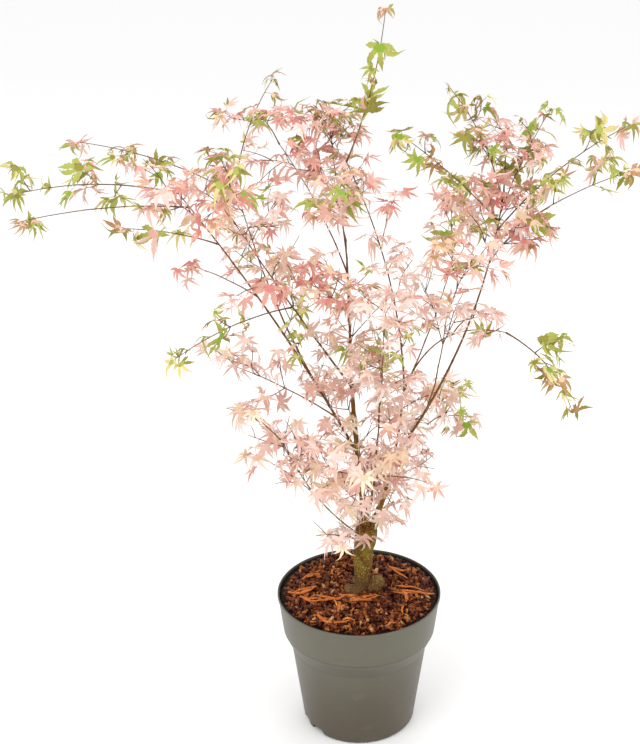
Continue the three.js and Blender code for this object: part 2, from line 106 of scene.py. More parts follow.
def bend(t: Array, start: Array, middle: Array, end: Array) -> Array:
    """The quadratic curve from start to end that leans towards middle, at shares t."""
    return (1 - t) ** 2 * start + 2 * t * (1 - t) * middle + t**2 * end


def ring_turns(sides: int) -> Array:
    """Even angles round a ring, in radians."""
    return np.arange(sides) * 2 * np.pi / sides


def round_end(share: Array, start: float, run: float) -> Array:
    """A factor of 1 that falls from a share like the quarter of a circle, to close the end of a tube."""
    return np.sqrt(np.maximum(0.02, 1 - (np.maximum(0, share - start) / run) ** 2))


def turned(vector: Array, axis: Array, angle: float) -> Array:
    """A vector turned about an axis (Rodrigues' formula).

    Args:
        vector: the vector.
        axis: the axis, of any length.
        angle: the angle, in radians.

    Returns:
        The turned vector.
    """
    axis = unit(axis)
    along = axis * float(axis @ vector) * (1 - math.cos(angle))
    return vector * math.cos(angle) + np.cross(axis, vector) * math.sin(angle) + along


def spins(axis: int, angles: Array) -> Array:
    """Matrices that turn about one of the three axes: cosines on the diagonal, sines beside it.

    Args:
        axis: 0, 1 or 2, for X, Y or Z.
        angles: an angle in radians for each matrix.

    Returns:
        The matrices, as (n, 3, 3).
    """
    first, second = (axis + 1) % 3, (axis + 2) % 3
    made = np.zeros((len(angles), 3, 3))
    made[:, axis, axis] = 1
    made[:, first, first] = made[:, second, second] = np.cos(angles)
    made[:, first, second], made[:, second, first] = -np.sin(angles), np.sin(angles)
    return made


def linear(shade: Sequence[float]) -> tuple[float, float, float, float]:
    """A display colour of 0 to 255 as the linear colour that shaders take."""
    parts = [c / 255 for c in shade]
    return (*(c / 12.92 if c <= 0.04045 else ((c + 0.055) / 1.055) ** 2.4 for c in parts), 1.0)


def waves(turn: Array, along: Array, seed: int, rings: Sequence[int], pitch: float) -> Array:
    """A sum of seeded waves, whole round a stem, that get smaller as they get finer.

    Args:
        turn: the angle round the stem.
        along: the distance along it, in millimetres.
        seed: which waves are drawn.
        rings: how many times each wave goes round the stem.
        pitch: the longest wave along the stem, in millimetres.

    Returns:
        Heights from about -1 to 1, in the shape of turn.
    """
    draw = np.random.default_rng(seed)
    total = np.zeros(np.broadcast(turn, along).shape)
    weight = 0.0
    for ring in rings:
        size = 1 / (1 + 0.35 * ring)
        rate = 2 * math.pi / pitch * draw.uniform(0.5, 1.5) * (1 + 0.3 * ring)
        total = total + size * np.sin(ring * turn + rate * along + draw.uniform(0, 2 * math.pi))
        weight += size * 0.6
    return total / weight


# ---- paths and meshes


@dataclass
class Path:
    """A bowed line: a quadratic curve whose middle is lifted by bow and pushed sideways by sway.

    A small zigzag, straight from node to node and still at both ends, kinks it as the shoots of a maple do.
    """

    foot: Array
    tip: Array
    bow: float = 0.0
    sway: float = 0.0
    kink: float = 0.0
    nodes: float = 1.0
    side: Array = field(init=False)
    middle: Array = field(init=False)
    length: float = field(init=False)

    def __post_init__(self) -> None:
        """Works out the middle point from the two directions that the line is bent in."""
        chord = self.tip - self.foot
        self.length = float(np.linalg.norm(chord))
        self.side = level_normal(chord)
        lift = unit(-np.cross(self.side, chord))
        push = 2 * self.bow * lift + 2 * self.sway * self.side
        self.middle = (self.foot + self.tip) / 2 + push * self.length

    def points(self, share: Array | Sequence[float]) -> Array:
        """Points at shares of the length: the curve, and the zigzag that fades as a sine to both ends.

        Args:
            share: the shares, from 0 at the foot to 1 at the tip.

        Returns:
            One row for each share.
        """
        t = np.asarray(share, float)
        saw = np.abs((t * self.nodes) % 2 - 1) * 2 - 1
        fade = self.kink * np.sin(np.pi * np.clip(t, 0, 1)) * saw
        return bend(t[:, None], self.foot, self.middle, self.tip) + fade[:, None] * self.side

    def point(self, share: float) -> Array:
        """The point at one share of the length."""
        return self.points([share])[0]

    def tangent(self, share: float) -> Array:
        """The heading at one share of the length."""
        return unit((1 - share) * (self.middle - self.foot) + share * (self.tip - self.middle))

    def foothold(self, share: float, sink: float) -> Array:
        """Where a branch starts: the point at a share, or sunk into the tip so that the joint is closed."""
        return self.point(share) - (sink * self.tangent(1) if share == 1 else 0)

    def sideways(self, share: float, roll: float, spread: float) -> Array:
        """A heading at a share of the length.

        Args:
            share: where.
            roll: the angle round the path, from the level side.
            spread: the angle away from the path's own heading.

        Returns:
            The heading, of length one.
        """
        along = self.tangent(share)
        across = level_normal(along)
        out = math.cos(roll) * across + math.sin(roll) * np.cross(along, across)
        return unit(math.cos(spread) * along + math.sin(spread) * out)


@dataclass
class Limb:
    """A limb or a twig: its path and its radii at foot and tip."""

    path: Path
    thick: float
    thin: float

    def radii(self, share: Array) -> Array:
        """Its radius at shares of its length, an even taper."""
        return self.thick + (self.thin - self.thick) * share


def frames_along(centres: Array) -> tuple[Array, Array]:
    """Two directions square to each of many lines of points.

    The first is the level normal of the whole line, squared to the line's heading at each point, and the
    second is the heading crossed with the first.

    Args:
        centres: lines of points, as (lines, points, 3).

    Returns:
        The two directions, in the same shape.
    """
    heading = unit(np.gradient(centres, axis=1))
    chord = centres[:, -1] - centres[:, 0]
    level = np.stack([-chord[:, 1], chord[:, 0], np.zeros(len(chord))], axis=-1)
    level[np.linalg.norm(level, axis=-1) < 1e-9] = (1.0, 0.0, 0.0)
    across = np.broadcast_to(unit(level)[:, None, :], centres.shape)
    across = unit(across - np.sum(across * heading, axis=-1, keepdims=True) * heading)
    return across, np.cross(heading, across)


def closed_faces(rings: int, sides: int) -> tuple[Array, Array]:
    """The faces of a closed skin over rings that turn anticlockwise about their heading.

    The rings' vertices come first, then the pole of the first ring and the pole of the last.

    Args:
        rings: how many rings there are.
        sides: the vertices in each.

    Returns:
        The quads between the rings, and the triangles that fan out from the poles.
    """
    row = np.arange(rings - 1)[:, None] * sides
    left = np.arange(sides)
    right = (left + 1) % sides
    quads = np.stack([row + left, row + right, row + sides + right, row + sides + left], axis=-1)
    last, pole = (rings - 1) * sides, np.full(sides, rings * sides)
    foot = np.stack([right, left, pole], axis=-1)
    tip = np.stack([last + left, last + right, pole + 1], axis=-1)
    return quads.reshape(-1, 4), np.concatenate([foot, tip])


@dataclass
class Surface:
    """Vertices and faces gathered from many shapes, in millimetres, for one piece."""

    points: list[Array] = field(default_factory=list)
    faces: list[Array] = field(default_factory=list)
    count: int = 0

    def add(self, points: Array, *faces: Array) -> None:
        """Adds a shape.

        Args:
            points: its vertices, as (n, 3).
            faces: arrays of its triangles or quads, which number the vertices from its own first one.
        """
        self.faces += [block + self.count for block in faces]
        self.points.append(points)
        self.count += len(points)

    def close(self, rings: Array, poles: Array) -> None:
        """Adds shapes whose rings are joined into a skin and closed at both ends.

        Args:
            rings: the rings' points, as (shapes, rings, sides, 3).
            poles: the middle of the first ring and of the last, as (shapes, 2, 3).
        """
        points = np.concatenate([rings.reshape(len(rings), -1, 3), poles], axis=1)
        start = np.arange(len(rings))[:, None, None] * points.shape[1]
        blocks = [(f + start).reshape(-1, f.shape[1]) for f in closed_faces(*rings.shape[1:3])]
        self.add(points.reshape(-1, 3), *blocks)

    def tubes(self, centres: Array, radii: Array, sides: int, flat: float = 1.0) -> None:
        """Adds round tubes with closed ends along lines of points: centre plus radius times the ring.

        Args:
            centres: lines of points, as (lines, points, 3).
            radii: a radius for each point, as (lines, points) or (lines, points, sides).
            sides: the faces round a tube.
            flat: the thickness of the tube across its second direction, as a share of its width.
        """
        across, over = (side[:, :, None] for side in frames_along(centres))
        turn = ring_turns(sides)[:, None]
        radii = radii if radii.ndim == 3 else radii[:, :, None]
        ring = np.cos(turn) * across + flat * np.sin(turn) * over
        self.close(centres[:, :, None] + radii[..., None] * ring, centres[:, [0, -1]])

    def turn_profile(self, profile: Array, sides: int) -> None:
        """Adds a profile turned round the upright axis: radius times the ring, at the profile's height.

        Args:
            profile: rows of (radius, height).
            sides: the faces round it.
        """
        turn = ring_turns(sides)
        radius, height = profile[:, :1], profile[:, 1:]
        body = [radius * np.cos(turn), radius * np.sin(turn), np.broadcast_to(height, (len(profile), sides))]
        poles = np.array([[0, 0, profile[0, 1]], [0, 0, profile[-1, 1]]])
        self.close(np.stack(body, axis=-1)[None], poles[None])

    def settle(self, name: str, material: Material, slot: str, nodes: Sequence[str] = ()) -> None:
        """Makes the piece, in metres and smooth, dresses it and hides the solids that it stands for.

        Args:
            name: the piece's name.
            material: its finish.
            slot: a material slot, which is not used.
            nodes: the solids that it replaces.
        """
        mesh = bpy.data.meshes.new(name)
        points = np.concatenate(self.points) * MM
        mesh.from_pydata(points.tolist(), [], [face for block in self.faces for face in block.tolist()])
        mesh.shade_smooth()
        mesh.validate()
        mesh.materials.append(material)
        piece = bpy.data.objects.new(name, mesh)
        bpy.context.scene.collection.objects.link(piece)
        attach(piece, BODY)
        if nodes:
            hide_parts(*nodes)
        log.info("%s: %d faces", name, len(mesh.polygons))


# ---- shader graphs


class Socket:
    """An output of a shader graph, whose operators add Math nodes."""

    def __init__(self, graph: "Graph", link: bpy.types.NodeSocket) -> None:
        """Keeps the graph and the socket."""
        self.graph = graph
        self.link = link

    def _maths(self, operation: str, left: Any, right: Any) -> "Socket":
        """One Math node on two values."""
        return self.graph.add("ShaderNodeMath", {"operation": operation}, {0: left, 1: right})

    def __add__(self, other: Any) -> "Socket":
        """The sum."""
        return self._maths("ADD", self, other)

    def __mul__(self, other: Any) -> "Socket":
        """The product."""
        return self._maths("MULTIPLY", self, other)

    def __sub__(self, other: Any) -> "Socket":
        """The difference."""
        return self._maths("SUBTRACT", self, other)

    def __rsub__(self, other: Any) -> "Socket":
        """The difference, the other way round."""
        return self._maths("SUBTRACT", other, self)

    __radd__ = __add__
    __rmul__ = __mul__


class Graph:
    """A material's nodes, all made by one method, and the colour that they have come to so far."""

    def __init__(self, name: str, shade: Sequence[float]) -> None:
        """Makes the material, with no nodes but the coordinates.

        Args:
            name: the material's name.
            shade: the display colour that it starts from.
        """
        self.material = bpy.data.materials.new(name)
        self.material.use_nodes = True
        self.tree = self.material.node_tree
        self.tree.nodes.clear()
        self.place = self.add("ShaderNodeTexCoord", {}, {}, "Object")
        self.colour: Any = linear(shade)

    def add(self, kind: str, settings: dict, inputs: dict, output: int | str = 0) -> Socket:
        """Adds a node.

        Args:
            kind: the node's type.
            settings: its properties.
            inputs: a value or a Socket for each input, by name or number.
            output: which output is returned.

        Returns:
            That output.
        """
        node = self.tree.nodes.new(kind)
        for key, value in settings.items():
            setattr(node, key, value)
        for key, value in inputs.items():
            if isinstance(value, Socket):
                self.tree.links.new(value.link, node.inputs[key])
            else:
                node.inputs[key].default_value = value
        return Socket(self, node.outputs[output] if len(node.outputs) else None)

    def stretched(self, stretch: Sequence[float]) -> Socket:
        """The object's own coordinates, times a factor along each axis."""
        return self.add("ShaderNodeMapping", {}, {"Vector": self.place, "Scale": stretch})

    def noise(self, scale: float, detail: float = 3.0, stretch: Sequence[float] = (1, 1, 1)) -> Socket:
        """Soft noise from 0 to 1, in waves to the metre."""
        inputs = {"Vector": self.stretched(stretch), "Scale": scale, "Detail": detail, "Roughness": 0.6}
        return self.add("ShaderNodeTexNoise", {}, inputs, "Fac")

    def cells(self, scale: float, stretch: Sequence[float]) -> Socket:
        """Distance to the nearest of many scattered points, in cells to the metre."""
        inputs = {"Vector": self.stretched(stretch), "Scale": scale}
        return self.add("ShaderNodeTexVoronoi", {}, inputs, "Distance")

    def height(self) -> Socket:
        """The height over the pot's foot, in metres."""
        return self.add("ShaderNodeSeparateXYZ", {}, {"Vector": self.place}, "Z")

    def radius(self) -> Socket:
        """The distance from the upright axis, in metres."""
        flat = self.add("ShaderNodeVectorMath", {"operation": "MULTIPLY"}, {0: self.place, 1: (1, 1, 0)})
        return self.add("ShaderNodeVectorMath", {"operation": "LENGTH"}, {0: flat}, "Value")

    def band(self, value: Any, low: float, high: float) -> Socket:
        """A value taken softly from low to high onto 0 to 1, and held there."""
        inputs = {"Value": value, "From Min": low, "From Max": high}
        return self.add("ShaderNodeMapRange", {"interpolation_type": "SMOOTHSTEP"}, inputs)

    def coat(self, mask: Any, shade: Sequence[float]) -> None:
        """Lays a display colour over the colour so far, as thick as the mask."""
        inputs = {0: mask, 6: self.colour, 7: linear(shade)}
        self.colour = self.add("ShaderNodeMix", {"data_type": "RGBA"}, inputs, 2)

    def finish(self, roughness: Any, bump: Any, depth: float, specular: float = 0.5) -> Material:
        """Ends the graph in its shader.

        Args:
            roughness: the roughness.
            bump: the height that the normal follows.
            depth: how deep that height is, in metres.
            specular: how strongly the surface mirrors.

        Returns:
            The material.
        """
        inputs = {"Base Color": self.colour, "Roughness": roughness, "Specular IOR Level": specular}
        relief = {"Height": bump, "Distance": depth, "Strength": 1.0}
        inputs["Normal"] = self.add("ShaderNodeBump", {}, relief, "Normal")
        shader = self.add("ShaderNodeBsdfPrincipled", {}, inputs, "BSDF")
        self.add("ShaderNodeOutputMaterial", {}, {"Surface": shader})
        return self.material


# ---- finishes


@dataclass(frozen=True)
class PotPlastic:
    """Satin moulded plastic in taupe grey, with faint flow marks, fine grain and a few dull rubs.

    A zone's row is the colour and strength of a painted shade and the two bands that bound it, in metres:
    outside, a painted shadow line under the rim band and painted shade on the downward-facing taper below
    it, between two heights, and inside, painted shade on the inner wall at the band's top and on the edge
    of the lip, over a height and within a radius.
    """

    base: Shade = (95, 92, 77)
    foot: Shade = (77, 68, 53)
    foot_band: Pair = (0.15, 0.0)
    foot_flow: Pair = (0.45, 0.55)
    outside: tuple[tuple, ...] = (
        # painted shadow line under the lower edge of the rim band
        ((60, 56, 47), 0.45, (0.125, 0.1235), (0.1185, 0.1215)),
        # painted shade on the taper below the band, which faces down
        ((80, 73, 59), 0.75, (0.1195, 0.117), (0.1, 0.1035)),
    )
    inside: tuple[tuple, ...] = (
        # painted shade on the inner wall at the top of the band
        ((34, 32, 26), 0.9, (0.1583, 0.1588), (0.093, 0.0927)),
        # painted shade on the top and inner edge of the lip
        ((40, 40, 34), 0.8, (0.1683, 0.1688), (0.0949, 0.0945)),
    )
    rub: Shade = (140, 137, 126)
    rub_strength: float = 0.12
    roughness: float = 0.36
    grain_depth: float = 0.00008

    def material(self) -> Material:
        """Builds the finish.

        Returns:
            The new material.
        """
        graph = Graph("pot_plastic", self.base)
        height, radius = graph.height(), graph.radius()
        flow = graph.noise(9.0, 2.0, (1, 1, 0.35))
        rubs = graph.band(graph.noise(46.0, 5.0, (1, 1, 2.5)), 0.56, 0.72)
        by_flow, by_height = self.foot_flow
        low = flow * by_flow + graph.band(height, *self.foot_band) * by_height
        graph.coat(graph.band(low, 0.15, 0.8), self.foot)
        # Paints the shadow line under the rim band and the shade on the taper below it.
        for shade, strength, over, under in self.outside:
            graph.coat(graph.band(height, *over) * graph.band(height, *under) * strength, shade)
        graph.coat(rubs * self.rub_strength, self.rub)
        # Paints shade on the inner wall at the band's top and on the edge of the lip.
        for shade, strength, over, within in self.inside:
            graph.coat(graph.band(height, *over) * graph.band(radius, *within) * strength, shade)
        grain = graph.noise(900.0, 2.0) * 0.5 + graph.noise(2200.0, 1.0) * 0.5
        dull = self.roughness + 0.1 * graph.noise(60.0) + rubs * self.rub_strength
        return graph.finish(dull, grain, self.grain_depth)


@dataclass(frozen=True)
class TrunkBark:
    """Olive brown bark with tan specks and fine upright cracks, browner where it is wet at its foot.

    wet_band holds the heights where the wet starts and where it is full, in metres, and the strengths say
    how much each coat covers. relief is the depth of the cracks and specks, in metres.
    """

    base: Shade = (148, 108, 38)
    crack: Shade = (86, 54, 12)
    moss: Shade = (136, 118, 34)
    speck: Shade = (216, 190, 112)
    wet: Shade = (104, 76, 48)
    wet_band: Pair = (0.198, 0.176)
    moss_strength: float = 0.75
    speck_strength: float = 0.8
    wet_strength: float = 0.65
    roughness: float = 0.78
    relief: float = 0.0005
    specular: float = 0.3

    def material(self) -> Material:
        """Builds the finish.

        Returns:
            The new material.
        """
        graph = Graph("trunk_bark", self.crack)
        cracks = graph.band(graph.noise(520.0, 6.0, (1, 1, 0.28)), 0.42, 0.66)
        specks = graph.band(graph.cells(420.0, (1, 1, 0.7)), 0.3, 0.12)
        graph.coat(cracks, self.base)
        graph.coat(graph.band(graph.noise(75.0, 3.0), 0.46, 0.66) * self.moss_strength, self.moss)
        graph.coat(specks * self.speck_strength, self.speck)
        graph.coat(graph.band(graph.height(), *self.wet_band) * self.wet_strength, self.wet)
        dull = self.roughness - specks * 0.12
        return graph.finish(dull, cracks + specks * 0.5, self.relief, self.specular)


@dataclass(frozen=True)
class BoughBark:
    """Thin smooth bark: olive brown at the foot of the stems, reddish brown and darker further up.

    The bands hold the heights where brown and tip start and where they are full, in metres, and drift how
    far the start of the brown wanders. relief is the depth of the scars and specks, in metres.
    """

    olive: Shade = (130, 98, 30)
    brown: Shade = (110, 66, 22)
    tip: Shade = (90, 44, 24)
    scar: Shade = (58, 34, 20)
    speck: Shade = (168, 132, 76)
    brown_band: Pair = (0.34, 0.56)
    tip_band: Pair = (0.56, 0.76)
    drift: float = 0.08
    scar_strength: float = 0.55
    speck_strength: float = 0.6
    roughness: float = 0.62
    relief: float = 0.00025
    specular: float = 0.25

    def material(self) -> Material:
        """Builds the finish.

        Returns:
            The new material.
        """
        graph = Graph("bough_bark", self.olive)
        height = graph.height()
        scars = graph.band(graph.noise(300.0, 4.0, (1, 1, 0.4)), 0.5, 0.7)
        specks = graph.band(graph.cells(520.0, (1, 1, 0.6)), 0.22, 0.1)
        graph.coat(graph.band(height + graph.noise(90.0) * self.drift, *self.brown_band), self.brown)
        graph.coat(graph.band(height, *self.tip_band), self.tip)
        graph.coat(scars * self.scar_strength, self.scar)
        graph.coat(specks * self.speck_strength, self.speck)
        dull = self.roughness + scars * 0.15
        return graph.finish(dull, scars * -0.6 + specks * 0.5, self.relief, self.specular)


@dataclass(frozen=True)
class ShootSkin:
    """Skin of a young twig or leaf stalk, in one colour with a soft mottle."""

    name: str
    base: Shade
    tint: Shade
    roughness: float = 0.55

    def material(self) -> Material:
        """Builds the finish.

        Returns:
            The new material.
        """
        graph = Graph(self.name, self.base)
        graph.coat(graph.band(graph.noise(160.0), 0.35, 0.65), self.tint)
        return graph.finish(self.roughness, graph.noise(900.0, 2.0), 0.0001)


@dataclass(frozen=True)
class LeafSkin:
    """A soft thin leaf in one plain colour, with the faint shine and the fine veins of its skin."""

    name: str
    base: Shade
    roughness: float = 0.5

    def material(self) -> Material:
        """Builds the finish.

        Returns:
            The new material.
        """
        graph = Graph(self.name, self.base)
        return graph.finish(self.roughness + 0.12 * graph.noise(240.0), graph.noise(1300.0), 0.00012, 0.3)


@dataclass(frozen=True)
class Crumb:
    """Bark compost: one tone with dark pores and lighter wear, on the coir partly painted highlights."""

    name: str
    base: Shade
    pore: Shade
    wear_and_highlight: Shade
    roughness: float = 0.7

    def material(self) -> Material:
        """Builds the finish.

        Returns:
            The new material.
        """
        graph = Graph(self.name, self.pore)
        grain = graph.noise(700.0, 5.0, (1, 1, 1.6))
        graph.coat(graph.band(grain, 0.36, 0.6), self.base)
        # Lighter patches: wear, and on the coir partly a painted highlight.
        graph.coat(graph.band(graph.noise(210.0), 0.55, 0.72) * 0.8, self.wear_and_highlight)
        return graph.finish(self.roughness + 0.2 * grain, grain, 0.0006, 0.25)


# ---- pot


def rounded(corners: Sequence[Triple], steps: int = 6) -> Array:
    """A line of (x, y, radius) corners with each corner turned into an arc.

    Each arc is a quadratic curve between the two points that lie a radius's tangent length from the
    corner, which is a circle's arc to within a few hundredths of its radius.

    Args:
        corners: the corners; the ends stay sharp.
        steps: the steps along each arc.

    Returns:
        The points of the line, as (n, 2).
    """
    points = [np.array(corners[0][:2])]
    t = np.linspace(0, 1, steps + 1)[:, None]
    for before, here, after in zip(corners, corners[1:], corners[2:]):
        corner = np.array(here[:2])
        into, out = (unit(np.array(end[:2]) - corner) for end in (before, after))
        reach = here[2] / math.tan(math.acos(float(np.clip(into @ out, -1, 1))) / 2)
        points.extend(bend(t, corner + into * reach, corner, corner + out * reach))
    return np.array([*points, corners[-1][:2]])


@dataclass
class Pot:
    """Round nursery pot: a tapered wall that steps out to a plain rim band with a thin lip.

    A corner is (radius, height) or, where its rounding varies, (radius, height, rounding).
    """

    height: float = 169.0
    hub: float = 30.0
    foot_radius: float = 66.0
    foot: float = 65.6
    shoulder: Pair = (79.5, 103.0)
    band: Pair = (88.8, 123.0)
    lip_radius: float = 95.0
    neck_radius: float = 94.0
    lip_drop: float = 4.0
    wall: float = 1.7
    step: float = 4.0
    sides: int = 288
    drains: tuple[float, ...] = (200.0, 222.0, 20.0, 42.0)
    drain_width: float = 20.0
    drain_height: float = 8.0
    drain_depth: float = 22.0

    def profile(self) -> Array:
        """The turned line, from the middle of the underside over the lip to the middle of the inside.

        Returns:
            Rows of (radius, height), a step apart at most.
        """
        wall, top, lip, under = self.wall, self.height, self.lip_radius, self.height - self.lip_drop
        outside = [
            (self.hub, 0.0, 0.0),
            (self.foot, 0.0, 5.0),
            (*self.shoulder, 9.0),
            (*self.band, 7.0),
            (self.neck_radius, under, 0.8),
            (lip, under + 0.9, 0.6),
            (lip, top, 0.6),
        ]
        inside = [
            (lip - wall, top, 0.5),
            (self.neck_radius - wall, under, 2.0),
            (self.band[0] - wall, self.band[1], 6.0),
            (self.shoulder[0] - wall, self.shoulder[1], 6.0),
            (self.foot - wall, wall, 4.0),
            (self.hub, wall, 0.0),
        ]
        line = rounded([*outside, *inside])
        gaps = np.linalg.norm(np.diff(line, axis=0), axis=1)
        along = np.concatenate([[0], np.cumsum(gaps)])
        spread = np.unique(np.concatenate([along, np.arange(0, along[-1], self.step)]))
        return np.stack([np.interp(spread, along, line[:, k]) for k in (0, 1)], axis=1)

    def build(self) -> None:
        """Makes the pot, with the drain notches raised into the edge of its foot.

        Within a notch the foot is lifted by an arch: the notch's height times a soft step in the radius
        and a rounded bump in the bearing.
        """
        surface = Surface()
        surface.turn_profile(self.profile(), self.sides)
        points = surface.points[0]
        radius = np.hypot(points[:, 0], points[:, 1])
        bearing = np.degrees(np.arctan2(points[:, 1], points[:, 0]))
        off = (bearing - np.array(self.drains)[:, None] + 180) % 360 - 180
        across = np.radians(off) * self.foot_radius / (self.drain_width / 2)
        arch = (np.clip(1 - across**8, 0, 1) ** 0.5).max(axis=0)
        inner = self.foot_radius - self.drain_depth
        lift = arch * smooth(radius, inner, inner + 2) * self.drain_height
        points[:, 2] = np.maximum(points[:, 2], lift)
        surface.settle("nursery_pot", PotPlastic().material(), "pot", ["pot"])


# ---- compost


def nugget() -> tuple[Array, Array]:
    """The regular solid with twenty faces: corners at plus or minus 1 and the golden ratio, turned thrice.

    Returns:
        Its twelve corners at radius 1, and its triangles, which face outwards.
    """
    golden = (1 + math.sqrt(5)) / 2
    rows = [np.roll((0, a, b * golden), turn) for turn in range(3) for a in (-1, 1) for b in (-1, 1)]
    corners = np.array(rows, float)
    near = np.isclose(np.linalg.norm(corners[:, None] - corners[None], axis=-1), 2)
    faces = [f for f in combinations(range(12), 3) if all(near[pair] for pair in combinations(f, 2))]
    outward = [f if np.linalg.det(corners[list(f)]) > 0 else f[::-1] for f in faces]
    return corners / math.sqrt(1 + golden**2), np.array(outward)


@dataclass
class Compost:
    """The pot's filling: a rough dark bed, loose bark chips on it and orange fibres among them.

    heap holds the bearing, the reach, the rise and the width of a heap, lumps the height of the bed's soft
    lumps, trunk the middle of the trunk's foot and its radius, and tones the share and the finish of each
    tone of chip. chip_length is the least, the range and the power that makes long chips rare, chip_width
    and chip_depth are shares of it that stay over chip_least, jitter is how far corners stray, tumble the
    spread of the tilt and its shares for tip and roll, and chip_lift how high chips lie.

    A row of bundles is a few fibres that lie together: bearing, reach, heading, length, count and how far
    their headings spread. The fibre_ values are how much single fibres differ from that, stray is how far
    they lie apart, fibre_lift how high they start and how much that differs, and clear how far they stay
    from the wall.
    """

    level: float = 164.3
    crown: float = 5.0
    edge: float = 91.4
    seat: float = 27.0
    skirt: float = 12.0
    rings: int = 40
    sides: int = 120
    chips: int = 2900
    seed: int = 41
    heap: tuple[float, float, float, float] = (103.0, 74.0, 7.5, 19.0)
    trunk: Triple = (5.0, 0.0, 9.5)
    # The ground is dark compost, and its near-black colour is partly painted shade for the deep gaps between
    # the chips.
    ground: Crumb = Crumb("compost_ground", (34, 10, 2), (14, 3, 0), (58, 26, 8))
    lumps: float = 0.8
    chip_length: Triple = (2.2, 4.3, 1.4)
    chip_width: Pair = (0.3, 0.56)
    chip_depth: Pair = (0.24, 0.44)
    chip_least: Pair = (1.2, 1.0)
    chip_lift: Pair = (-1.4, 4.0)
    jitter: float = 0.13
    tumble: Triple = (0.6, 0.6, 1.2)
    clear: float = 3.0
    stray: float = 4.5
    fibre_length: Pair = (0.6, 1.15)
    fibre_width: Pair = (1.3, 2.4)
    fibre_curve: float = 0.13
    fibre_lift: Pair = (3.4, 2.2)
    fibre_tilt: float = 1.2
    # The coir's lightest colour is partly a painted highlight on the fibres.
    coir: Crumb = Crumb("coir", (208, 118, 48), (168, 78, 18), (236, 178, 112), 0.5)
    tones: tuple[tuple[float, Crumb], ...] = (
        (0.44, Crumb("chip_dark", (84, 26, 2), (34, 4, 0), (132, 60, 14), 0.4)),
        (0.36, Crumb("chip_brown", (140, 70, 18), (78, 26, 2), (190, 112, 48), 0.4)),
        (0.165, Crumb("chip_tan", (186, 112, 52), (122, 58, 14), (226, 166, 100), 0.44)),
        (0.035, Crumb("chip_pale", (210, 164, 108), (160, 108, 60), (234, 204, 158), 0.5)),
    )
    bundles: tuple[tuple, ...] = (
        (186, 70, 8, 40, 3, 22),
        (204, 66, 170, 30, 2, 22),
        (222, 40, 4, 40, 3, 10),
        (262, 24, 2, 44, 3, 8),
        (290, 26, 12, 36, 3, 10),
        (243, 44, 75, 26, 2, 22),
        (240, 74, 160, 34, 3, 14),
        (262, 68, 20, 26, 2, 22),
        (352, 58, 2, 44, 3, 10),
        (336, 58, 86, 34, 2, 10),
        (322, 70, 100, 22, 1, 22),
        (38, 60, 150, 26, 2, 22),
        (75, 46, 140, 30, 2, 22),
        (128, 34, 20, 24, 2, 22),
        (152, 62, 30, 26, 2, 22),
        (300, 76, 30, 20, 1, 22),
    )

    def bed(self, x: Array, y: Array) -> Array:
        """The height of the bed: a low crown, soft lumps and a heap of chips at the back of the rim.

        Args:
            x: places along X.
            y: places along Y.

        Returns:
            The heights there.
        """
        inward = np.clip((self.edge - np.hypot(x, y)) / (self.edge - self.seat), 0, 1)
        crown = self.crown * np.sin(inward * np.pi / 2)
        lumps = np.sin(x * 0.21 + 1) * np.sin(y * 0.17 + 2) + 0.6 * np.sin(x * 0.43 + y * 0.37)
        bearing, reach, rise, width = self.heap
        middle = polar(bearing, reach, 0)
        away = np.hypot(x - middle[0], y - middle[1]) / width
        return self.level + crown + self.lumps * lumps + rise * np.exp(-(away**2))

    def make_bed(self) -> None:
        """The ground under the chips, near black as dark compost and as painted shade in the gaps between
        them: a disc at the bed's height, whose rim goes down as a skirt.
        """
        share = np.linspace(0.02, 1, self.rings)[:, None]
        turn = ring_turns(self.sides)[None, :]
        x = self.edge * share * np.cos(turn)
        y = self.edge * share * np.sin(turn)
        low = self.level - self.skirt
        skirt = np.stack([x[-1:], y[-1:], np.full_like(x[-1:], low)], axis=-1)
        rings = np.concatenate([skirt, np.stack([x, y, self.bed(x, y)], axis=-1)[::-1]])
        surface = Surface()
        surface.close(rings[None], np.array([[[0, 0, low], [0, 0, self.bed(0.0, 0.0)]]]))
        surface.settle("compost_bed", self.ground.material(), "soil", ["soil"])

    def scatter(self, draw: np.random.Generator, margin: Array) -> tuple[Array, Array]:
        """Even random places on the bed, pushed clear of the trunk.

        Args:
            draw: the random numbers.
            margin: how far each place stays from the wall.

        Returns:
            Their x and y.
        """
        reach = (self.edge - margin) * np.sqrt(draw.uniform(0, 1, len(margin)))
        turn = draw.uniform(0, 2 * np.pi, len(margin))
        middle_x, middle_y, radius = self.trunk
        x, y = reach * np.cos(turn) - middle_x, reach * np.sin(turn) - middle_y
        away = np.hypot(x, y)
        push = np.maximum(away, radius) / np.maximum(away, 1e-6)
        return middle_x + x * push, middle_y + y * push

